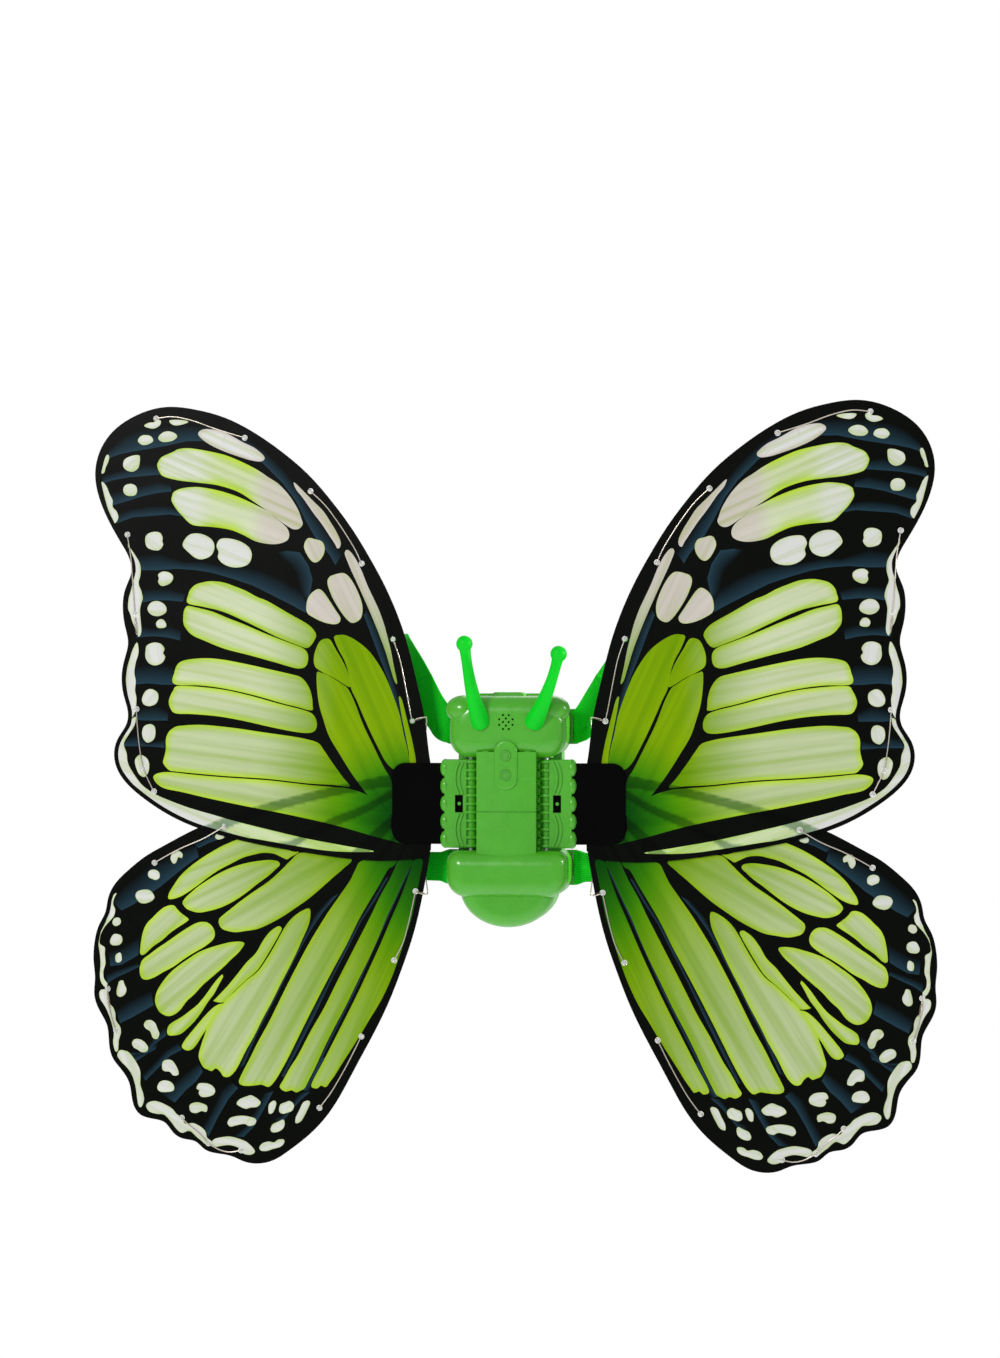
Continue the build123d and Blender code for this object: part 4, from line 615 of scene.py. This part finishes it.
# ---------------------------------------------------------------- materials
class Nodes:
    """A short way to write one material's node tree."""

    def __init__(self, name):
        self.material = bpy.data.materials.new(name)
        self.material.use_nodes = True
        self.tree = self.material.node_tree
        self.shader = self.tree.nodes["Principled BSDF"]

    def add(self, kind, links=None, **values):
        """One node, with its settings and the sockets that feed it."""
        node = self.tree.nodes.new(kind)
        for key, value in values.items():
            setattr(node, key, value)
        for socket, source in (links or {}).items():
            if isinstance(source, bpy.types.NodeSocket):
                self.tree.links.new(source, node.inputs[socket])
            else:
                node.inputs[socket].default_value = source
        return node

    def place(self):
        """Points in the row frame."""
        return self.add("ShaderNodeTexCoord").outputs["Object"]

    def noise(self, vector, scale, detail=2.0, rough=0.5, distortion=0.0):
        """Noise from 0 to 1."""
        links = {"Vector": vector, "Scale": scale, "Detail": detail, "Roughness": rough,
                 "Distortion": distortion}
        return self.add("ShaderNodeTexNoise", links).outputs["Fac"]

    def span(self, value, low, high, from_low=0.3, from_high=0.7):
        """A value carried from one range to another."""
        links = {"Value": value, "From Min": from_low, "From Max": from_high, "To Min": low, "To Max": high}
        return self.add("ShaderNodeMapRange", links).outputs["Result"]

    def math(self, operation, a, b=0.0):
        """One sum."""
        return self.add("ShaderNodeMath", {0: a, 1: b}, operation=operation).outputs[0]

    def blend(self, factor, a, b, how="MIX"):
        """Two colours mixed."""
        node = self.add("ShaderNodeMix", data_type="RGBA", blend_type=how)
        for index, source in ((0, factor), (6, a), (7, b)):
            if isinstance(source, bpy.types.NodeSocket):
                self.tree.links.new(source, node.inputs[index])
            else:
                value = source if index == 0 else (*source, 1.0)
                node.inputs[index].default_value = value
        return node.outputs[2]

    def bump(self, height, strength, distance, under=None):
        """A normal from a height."""
        links = {"Height": height, "Strength": strength, "Distance": distance}
        if under is not None:
            links["Normal"] = under
        return self.add("ShaderNodeBump", links).outputs["Normal"]

    def set(self, **sockets):
        """Feeds the shader, by value or by link. Underscores stand for spaces."""
        for key, source in sockets.items():
            socket = self.shader.inputs[key.replace("_", " ")]
            if isinstance(source, bpy.types.NodeSocket):
                self.tree.links.new(source, socket)
            else:
                socket.default_value = source
        return self.material


def moulded(name, colour, rough, mottle=0.06, grain=1400.0, depth=0.00002, **sockets):
    """Injection-moulded plastic: faint flow mottling, fine surface grain, uneven gloss."""
    n = Nodes(name)
    here = n.place()
    broad, fine, wide = n.noise(here, 34.0, 3.0), n.noise(here, grain, 2.0), n.noise(here, 140.0, 3.0)
    dark, light = tuple(c * (1 - mottle) for c in colour), tuple(min(1, c * (1 + mottle)) for c in colour)
    normal = n.bump(fine, 0.25, depth, n.bump(wide, 0.12, 0.0003))
    return n.set(Base_Color=n.blend(n.span(broad, 0, 1), dark, light),
                 Roughness=n.span(wide, rough - 0.05, rough + 0.07), Normal=normal, **sockets)


def metal(name, colour, rough, stretch=(1, 1, 12)):
    """Drawn or turned metal with fine lines."""
    n = Nodes(name)
    lines = n.add("ShaderNodeMapping", {"Vector": n.place(), "Scale": stretch}).outputs["Vector"]
    fine, broad = n.noise(lines, 900.0, 3.0), n.noise(n.place(), 120.0, 3.0)
    dark = tuple(c * 0.82 for c in colour)
    return n.set(Base_Color=n.blend(n.span(broad, 0, 1), dark, colour), Metallic=1.0,
                 Roughness=n.span(fine, rough - 0.06, rough + 0.1), Normal=n.bump(fine, 0.2, 0.00001))


def film_material():
    """Printed film: the print, fine streaks along each cell, a slight wave and a satin varnish."""
    n = Nodes("printed_film")
    ink = n.add("ShaderNodeVertexColor", layer_name="print").outputs["Color"]
    grain = n.add("ShaderNodeAttribute", attribute_name="grain", attribute_type="GEOMETRY").outputs["Vector"]
    clear = n.add("ShaderNodeAttribute", attribute_name="clear", attribute_type="GEOMETRY").outputs["Fac"]
    streak = n.noise(grain, 0.16, 2.0, 0.5)
    thread = n.noise(grain, 1.1, 2.0, 0.6)
    light = n.math("MULTIPLY", n.span(streak, 0.0, 1.0, 0.45, 0.70), clear)
    lifted = n.blend(light, ink, n.blend(1.0, ink, (1.16, 1.12, 1.20), "MULTIPLY"))
    dark = n.math("MULTIPLY", n.span(streak, 1.0, 0.0, 0.30, 0.50), clear)
    shaded = n.blend(dark, lifted, n.blend(1.0, ink, (0.80, 0.89, 0.50), "MULTIPLY"))
    fine = n.span(thread, 0.96, 1.03)
    final = n.blend(1.0, shaded, n.add("ShaderNodeCombineColor", {0: fine, 1: fine, 2: fine}).outputs[0],
                    "MULTIPLY")
    here = n.place()
    wave, dust = n.noise(here, 9.0, 2.0), n.noise(here, 420.0, 3.0)
    normal = n.bump(dust, 0.08, 0.00004, n.bump(wave, 0.5, 0.004))
    return n.set(Base_Color=final, Roughness=n.span(dust, 0.30, 0.40), Normal=normal, Specular_IOR_Level=0.06)


def webbing_material():
    """Woven elastic webbing: lengthwise ribs, cross picks, slightly fuzzy."""
    n = Nodes("webbing")
    place = n.add("ShaderNodeAttribute", attribute_name="weave", attribute_type="GEOMETRY").outputs["Vector"]
    parts = n.add("ShaderNodeSeparateXYZ", {"Vector": place})
    along, across = parts.outputs["X"], parts.outputs["Y"]
    rib = n.math("SINE", n.math("MULTIPLY", across, 2 * math.pi / 1.45))
    pick = n.math("SINE", n.math("MULTIPLY", along, 2 * math.pi / 1.1))
    weave = n.math("ADD", n.math("MULTIPLY", rib, 0.6),
                   n.math("MULTIPLY", n.math("MULTIPLY", rib, pick), 0.4))
    fuzz = n.noise(n.place(), 2600.0, 2.0)
    height = n.math("ADD", n.span(weave, 0, 1, -1, 1), n.math("MULTIPLY", fuzz, 0.35))
    broad = n.noise(n.place(), 26.0, 2.0)
    # Painted shade: the webbing is darker in the grooves between the ribs and lighter on the ribs, following the
    # weave's height.
    base = n.blend(n.span(weave, 0, 1, -1, 1), rgb(0, 160, 14), rgb(4, 212, 30))
    tinted = n.blend(n.span(broad, 0, 0.35), base, rgb(14, 224, 40))
    return n.set(Base_Color=tinted, Roughness=n.span(fuzz, 0.68, 0.85), Normal=n.bump(height, 0.7, 0.00022),
                 Sheen_Weight=0.03, Sheen_Roughness=0.4, Specular_IOR_Level=0.15)


MATERIALS = {
    "film": film_material(),
    "webbing": webbing_material(),
    "case_green": moulded("case_green", rgb(76, 176, 32), 0.28, 0.05, Coat_Weight=0.35, Coat_Roughness=0.14,
                          Subsurface_Weight=0.12, Subsurface_Radius=(0.4, 1.0, 0.25), Subsurface_Scale=0.004),
    "button_green": moulded("button_green", rgb(76, 168, 44), 0.38, 0.05, 900.0, 0.00012),
    "antenna_green": moulded("antenna_green", rgb(0, 214, 36), 0.44, 0.06, 1800.0, 0.00003,
                             Specular_IOR_Level=0.18, Subsurface_Weight=0.12,
                             Subsurface_Radius=(0.3, 1.0, 0.3),
                             Subsurface_Scale=0.004),
    "clamp_black": moulded("clamp_black", rgb(3, 3, 3), 0.55, 0.25, 2200.0, 0.00008, Specular_IOR_Level=0.03),
    "steel": metal("steel", (0.62, 0.62, 0.62), 0.28),
    "brass": metal("brass", (0.72, 0.52, 0.22), 0.3),
    "motor_steel": metal("motor_steel", (0.55, 0.55, 0.56), 0.34),
    "speaker_metal": metal("speaker_metal", (0.5, 0.5, 0.5), 0.4, (1, 1, 1)),
    "light_wire": metal("light_wire", (0.78, 0.70, 0.60), 0.3, (3, 3, 3)),
    "gear_plastic": moulded("gear_plastic", rgb(232, 230, 220), 0.42, 0.04, 1500.0),
    "frame_plastic": moulded("frame_plastic", rgb(206, 206, 198), 0.5, 0.05, 1300.0),
    "motor_cap": moulded("motor_cap", rgb(236, 236, 230), 0.45, 0.04, 1500.0),
    "cell_wrap": moulded("cell_wrap", rgb(214, 208, 184), 0.28, 0.05, 700.0),
    "board": moulded("board", rgb(150, 112, 58), 0.55, 0.12, 1700.0, 0.00004),
    "board_parts": moulded("board_parts", rgb(26, 26, 28), 0.48, 0.2, 1200.0),
    "speaker_paper": moulded("speaker_paper", rgb(38, 37, 36), 0.85, 0.2, 2400.0, 0.0001),
    "light_bead": moulded("light_bead", rgb(238, 240, 232), 0.10, 0.03, 600.0, 0.00001,
                          Transmission_Weight=0.45,
                          IOR=1.47),
}
MATERIALS["spring_steel"] = MATERIALS["steel"]

slot_of = {s["node"]: s["material_slot"] for s in frame["record"]["subparts"]}
for name, node in frame["nodes"].items():
    material = MATERIALS.get(slot_of[name])
    if material:
        node.data.materials.clear()
        node.data.materials.append(material)

# ---------------------------------------------------------------- wings
UPPER = {"upper": True, "bands": UPPER_BANDS, "margins": UPPER_MARGINS, "slivers": UPPER_SLIVERS,
         "cells": UPPER_CELLS, "spots": UPPER_SPOTS}
LOWER = {"upper": False, "bands": LOWER_BANDS, "margins": LOWER_MARGINS, "slivers": [],
         "cells": HIDDEN_CELLS + LOWER_CELLS, "spots": LOWER_SPOTS}


def layout(node, print_of):
    """A film's outline and its clear cells, for the painted shade on the film that lies over it."""
    return film_loops(node)[0], [closed_curve(points) for points in print_of["cells"] + print_of["margins"]]


for side in ("left", "right"):
    # Each film gets the other's outline and cells for its painted shade.
    upper, lower = layout(f"upper_wing_{side}", UPPER), layout(f"lower_wing_{side}", LOWER)
    film(f"upper_wing_{side}", f"{side}_wing", side, UPPER, lower)
    film(f"lower_wing_{side}", f"{side}_wing", side, LOWER, upper)


# ---------------------------------------------------------------- straps
# The left loop's middle line and the way its outer face looks, in mm, with a folded tail at each end.
STRAP = [
    ((-67, -0.2, 85), (-0.1, -1, 0.2)), ((-60, -2.6, 72), (-0.1, -1, 0)), ((-53, -3.0, 61), (0, -1, 0)),
    ((-48, -1.5, 55), (0.1, -1, 0)), ((-44.6, -1.9, 53), (0.6, -0.8, 0)), ((-43.5, -4.4, 53), (1, 0, 0)),
    ((-43.6, -7.0, 53), (1, -0.5, 0)), ((-45.4, -8.2, 53.4), (0.4, -1, 0)), ((-48.7, -8.4, 55.4), (0, -1, 0)),
    ((-54, -7.2, 62), (-0.1, -1, 0)), ((-61.5, -3.4, 75), (-0.1, -1, 0.1)), ((-71, 3.5, 91), (-0.1, -1, 0.3)),
    ((-80, 12, 104), (-0.1, -0.9, 0.7)), ((-87, 25, 113.5), (-0.1, -0.4, 1)), ((-91, 43, 117), (-0.1, 0, 1)),
    ((-93, 64, 115), (-0.1, 0.3, 1)), ((-93.5, 84, 108), (-0.1, 0.7, 0.8)), ((-94, 100, 94), (-0.1, 1, 0.4)),
    ((-94, 110, 72), (-0.15, 1, 0.2)), ((-95, 115, 44), (-0.2, 1, 0)), ((-97, 115, 16), (-0.35, 1, 0)),
    ((-102, 109, -10), (-0.7, 1, -0.1)), ((-109, 96, -30), (-1, 0.7, -0.1)), ((-115, 76, -41), (-1, 0.3, 0)),
    ((-115, 54, -44.5), (-1, -0.1, 0)), ((-107, 33, -45), (-1, -0.6, 0)), ((-93, 16, -45), (-0.7, -1, 0)),
    ((-76, 4, -45), (-0.3, -1, 0)), ((-62, -3, -45), (-0.2, -1, 0)), ((-53.5, -6.4, -45), (-0.2, -1, 0)),
    ((-48.7, -8.1, -45), (-0.1, -1, 0)), ((-45.4, -8.2, -45), (0.4, -1, 0)),
    ((-43.6, -7.0, -45), (1, -0.5, 0)),
    ((-43.5, -4.4, -45), (1, 0, 0)), ((-44.6, -1.9, -45), (0.6, -0.8, 0)), ((-48, -1.5, -45), (0.1, -1, 0)),
    ((-54, -2.8, -45), (0, -1, 0)), ((-62, -0.6, -45), (-0.2, -1, 0)), ((-72, 3.8, -45), (-0.3, -1, 0)),
]
STRAP_W = 20.0
SLOT_X, SLOT_FADE = 45.5, 6.0       # the webbing is bunched up out to here, and spreads again over the fade


def open_curve(points, per_run=8):
    """A smooth open line through given points."""
    p = np.array(points, float)
    p = np.vstack([2 * p[0] - p[1], p, 2 * p[-1] - p[-2]])
    out = []
    for a, b, c, d in zip(p, p[1:], p[2:], p[3:]):
        for t in np.arange(per_run) / per_run:
            out.append(between(a, b, c, d, t))
    out.append(p[-2])
    return np.array(out)


def unit(v):
    """Vectors of length one."""
    return v / np.maximum(np.linalg.norm(v, axis=-1, keepdims=True), 1e-9)


def strap(side):
    """One shoulder loop of webbing, threaded through its two lugs and folded back on itself."""
    sign = 1 if side == "left" else -1
    line = open_curve([p for p, _ in STRAP])
    outward = unit(open_curve([o for _, o in STRAP]))
    along = unit(np.gradient(line, axis=0))
    across = unit(np.cross(along, outward))
    face = np.cross(across, along)
    length = np.concatenate([[0], np.cumsum(np.linalg.norm(np.diff(line, axis=0), axis=1))])
    half = STRAP_W / 2
    edge = half - 0.5
    profile = [(-half, 0.0), (-half + 0.12, 0.38), (-edge, 0.56)]
    profile += [(x, 0.6 + 0.05 * math.cos(math.pi * x / half))
                for x in np.linspace(-edge + 0.5, edge - 0.5, 13)]
    profile += [(edge, 0.56), (half - 0.12, 0.38), (half, 0.0)]
    profile += [(x, -t) for x, t in profile[-2:0:-1]]
    count = len(profile)
    rows, weave = [], []
    in_slot = 1 - smooth((np.abs(line[:, 0]) - SLOT_X) / SLOT_FADE)
    for i in range(len(line)):
        wide, thick = 1 + 0.17 * in_slot[i], 1 + 0.75 * in_slot[i]
        for x, t in profile:
            p = line[i] + across[i] * x * wide + face[i] * t * thick
            rows.append((sign * p[0] / 1000, p[1] / 1000, p[2] / 1000))
            weave.append((length[i], x, t))
    quads = []
    for i in range(len(line) - 1):
        for j in range(count):
            a, b = i * count + j, i * count + (j + 1) % count
            quads.append((a, b, b + count, a + count) if sign > 0 else (b, a, a + count, b + count))
    caps = [tuple(range(count)), tuple(reversed(range((len(line) - 1) * count, len(line) * count)))]
    quads += caps if sign < 0 else [tuple(reversed(c)) for c in caps]
    mesh = bpy.data.meshes.new(f"strap_{side}")
    mesh.from_pydata(rows, [], quads)
    mesh.attributes.new("weave", "FLOAT_VECTOR", "POINT").data.foreach_set("vector", np.array(weave).ravel())
    mesh.shade_smooth()
    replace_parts(piece_of(f"webbing_{side}", mesh, "webbing", "case"),
                f"shoulder_strap_{side}")


for side in ("left", "right"):
    strap(side)


# ---------------------------------------------------------------- twisted spare wire of the light strings
def twist(side, name, start, end, y):
    """A small bundle: two wire loops twisted round each other along the film."""
    sign = -1 if side == "left" else 1
    a = Vector((sign * start[0], y, start[1])) / 1000
    b = Vector((sign * end[0], y, end[1])) / 1000
    along = (b - a).normalized()
    front = Vector((0, -1, 0))
    across = along.cross(front)
    rows, quads, ring, steps, turns, wire_radius = [], [], 8, 72, 4.5, 0.00026
    for strand in range(2):
        for i in range(steps):
            t = i / (steps - 1)
            angle = 2 * math.pi * turns * t + math.pi * strand
            swell = 0.00025 + 0.00065 * math.sin(math.pi * t)
            middle = a.lerp(b, t) + (across * math.cos(angle) + front * (math.sin(angle) + 1.0)) * swell
            for k in range(ring):
                turn = 2 * math.pi * k / ring
                rows.append(middle + (across * math.cos(turn) + front * math.sin(turn)) * wire_radius)
        first = strand * steps * ring
        for i in range(steps - 1):
            for k in range(ring):
                p, q = first + i * ring + k, first + i * ring + (k + 1) % ring
                quads.append((p, q, q + ring, p + ring))
        quads.append(tuple(reversed(range(first, first + ring))))
        quads.append(tuple(range(first + (steps - 1) * ring, first + steps * ring)))
    mesh = bpy.data.meshes.new(name)
    mesh.from_pydata([tuple(r) for r in rows], [], quads)
    mesh.shade_smooth()
    piece_of(f"{name}_{side}", mesh, "light_wire", f"{side}_wing")


for side in ("left", "right"):
    upper_face, lower_face = (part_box(f"{name}_wing_{side}")[0].y * 1000 - 0.4 for name in ("upper", "lower"))
    twist(side, "upper_twist", (262.6, 129), (261.5, 117), upper_face)
    twist(side, "lower_twist", (282.8, -133), (281.2, -145), lower_face)
    twist(side, "upper_root_twist", (66, 57.2), (58.5, 59.6), upper_face)
    twist(side, "lower_root_twist", (64, -61.2), (58, -63), lower_face)

# ---------------------------------------------------------------- floor, light and camera
FLOOR_Z, FLOOR_HALF = -2.0, 6


def pale(name, colour):
    """A plain pale surface with the faintest unevenness."""
    n = Nodes(name)
    cloud = n.noise(n.place(), 1.5, 2.0)
    return n.set(Base_Color=n.blend(n.span(cloud, 0, 1), tuple(c * 0.985 for c in colour), colour),
                 Roughness=0.9,
                 Emission_Color=(1, 1, 1, 1), Emission_Strength=0.40)


floor_mesh = bpy.data.meshes.new("floor")
floor_mesh.from_pydata([(x * FLOOR_HALF, y * FLOOR_HALF, FLOOR_Z)
                        for x, y in ((-1, -1), (1, -1), (1, 1), (-1, 1))],
                       [], [(0, 1, 2, 3)])
floor_mesh.materials.append(pale("pale_floor", (0.92, 0.92, 0.92)))
floor = bpy.data.objects.new("floor", floor_mesh)
bpy.context.scene.collection.objects.link(floor)

world = bpy.data.worlds.new("studio")
world.use_nodes = True
tree = world.node_tree
tree.nodes.clear()
camera_ray = tree.nodes.new("ShaderNodeLightPath").outputs["Is Camera Ray"]
either = tree.nodes.new("ShaderNodeMixShader")
tree.links.new(camera_ray, either.inputs[0])
for socket, colour, strength in ((1, (0.96, 0.98, 1, 1), 0.45), (2, (1, 1, 1, 1), 1.0)):  # as light, as seen
    sky = tree.nodes.new("ShaderNodeBackground")
    sky.inputs["Color"].default_value = colour
    sky.inputs["Strength"].default_value = strength
    tree.links.new(sky.outputs[0], either.inputs[socket])
tree.links.new(either.outputs[0], tree.nodes.new("ShaderNodeOutputWorld").inputs[0])
bpy.context.scene.world = world
bpy.context.scene.view_settings.view_transform = "Standard"


def softbox(name, place, target, size, watts):
    """A soft square light aimed at a point."""
    data = bpy.data.lights.new(name, "AREA")
    data.shape, data.size, data.energy = "SQUARE", size, watts
    light = bpy.data.objects.new(name, data)
    light.location = place
    light.rotation_euler = (Vector(target) - Vector(place)).to_track_quat("-Z", "Y").to_euler()
    bpy.context.scene.collection.objects.link(light)


softbox("key", (2.0, 0.25, 0.55), (0, 0, 0), 0.5, 60)
softbox("front", (-0.9, -2.2, 1.0), (0, 0, 0), 0.42, 26)
softbox("back", (0.4, 1.8, 1.4), (0, 0, 0), 1.4, 12)

AZIMUTH, DISTANCE, VIEW_WIDTH = math.radians(7), 2.27, 0.937
AIM = Vector((-0.006, -0.030, 0.086))
camera_data = bpy.data.cameras.new("camera")
camera_data.sensor_width = 36
camera_data.lens = camera_data.sensor_width * DISTANCE / VIEW_WIDTH
camera_data.clip_end = 60
camera = bpy.data.objects.new("camera", camera_data)
back = Vector((math.sin(AZIMUTH), -math.cos(AZIMUTH), 0.0))
camera.location = AIM + back * DISTANCE
camera.rotation_euler = (-back).to_track_quat("-Z", "Y").to_euler()
bpy.context.scene.collection.objects.link(camera)
bpy.context.scene.camera = camera
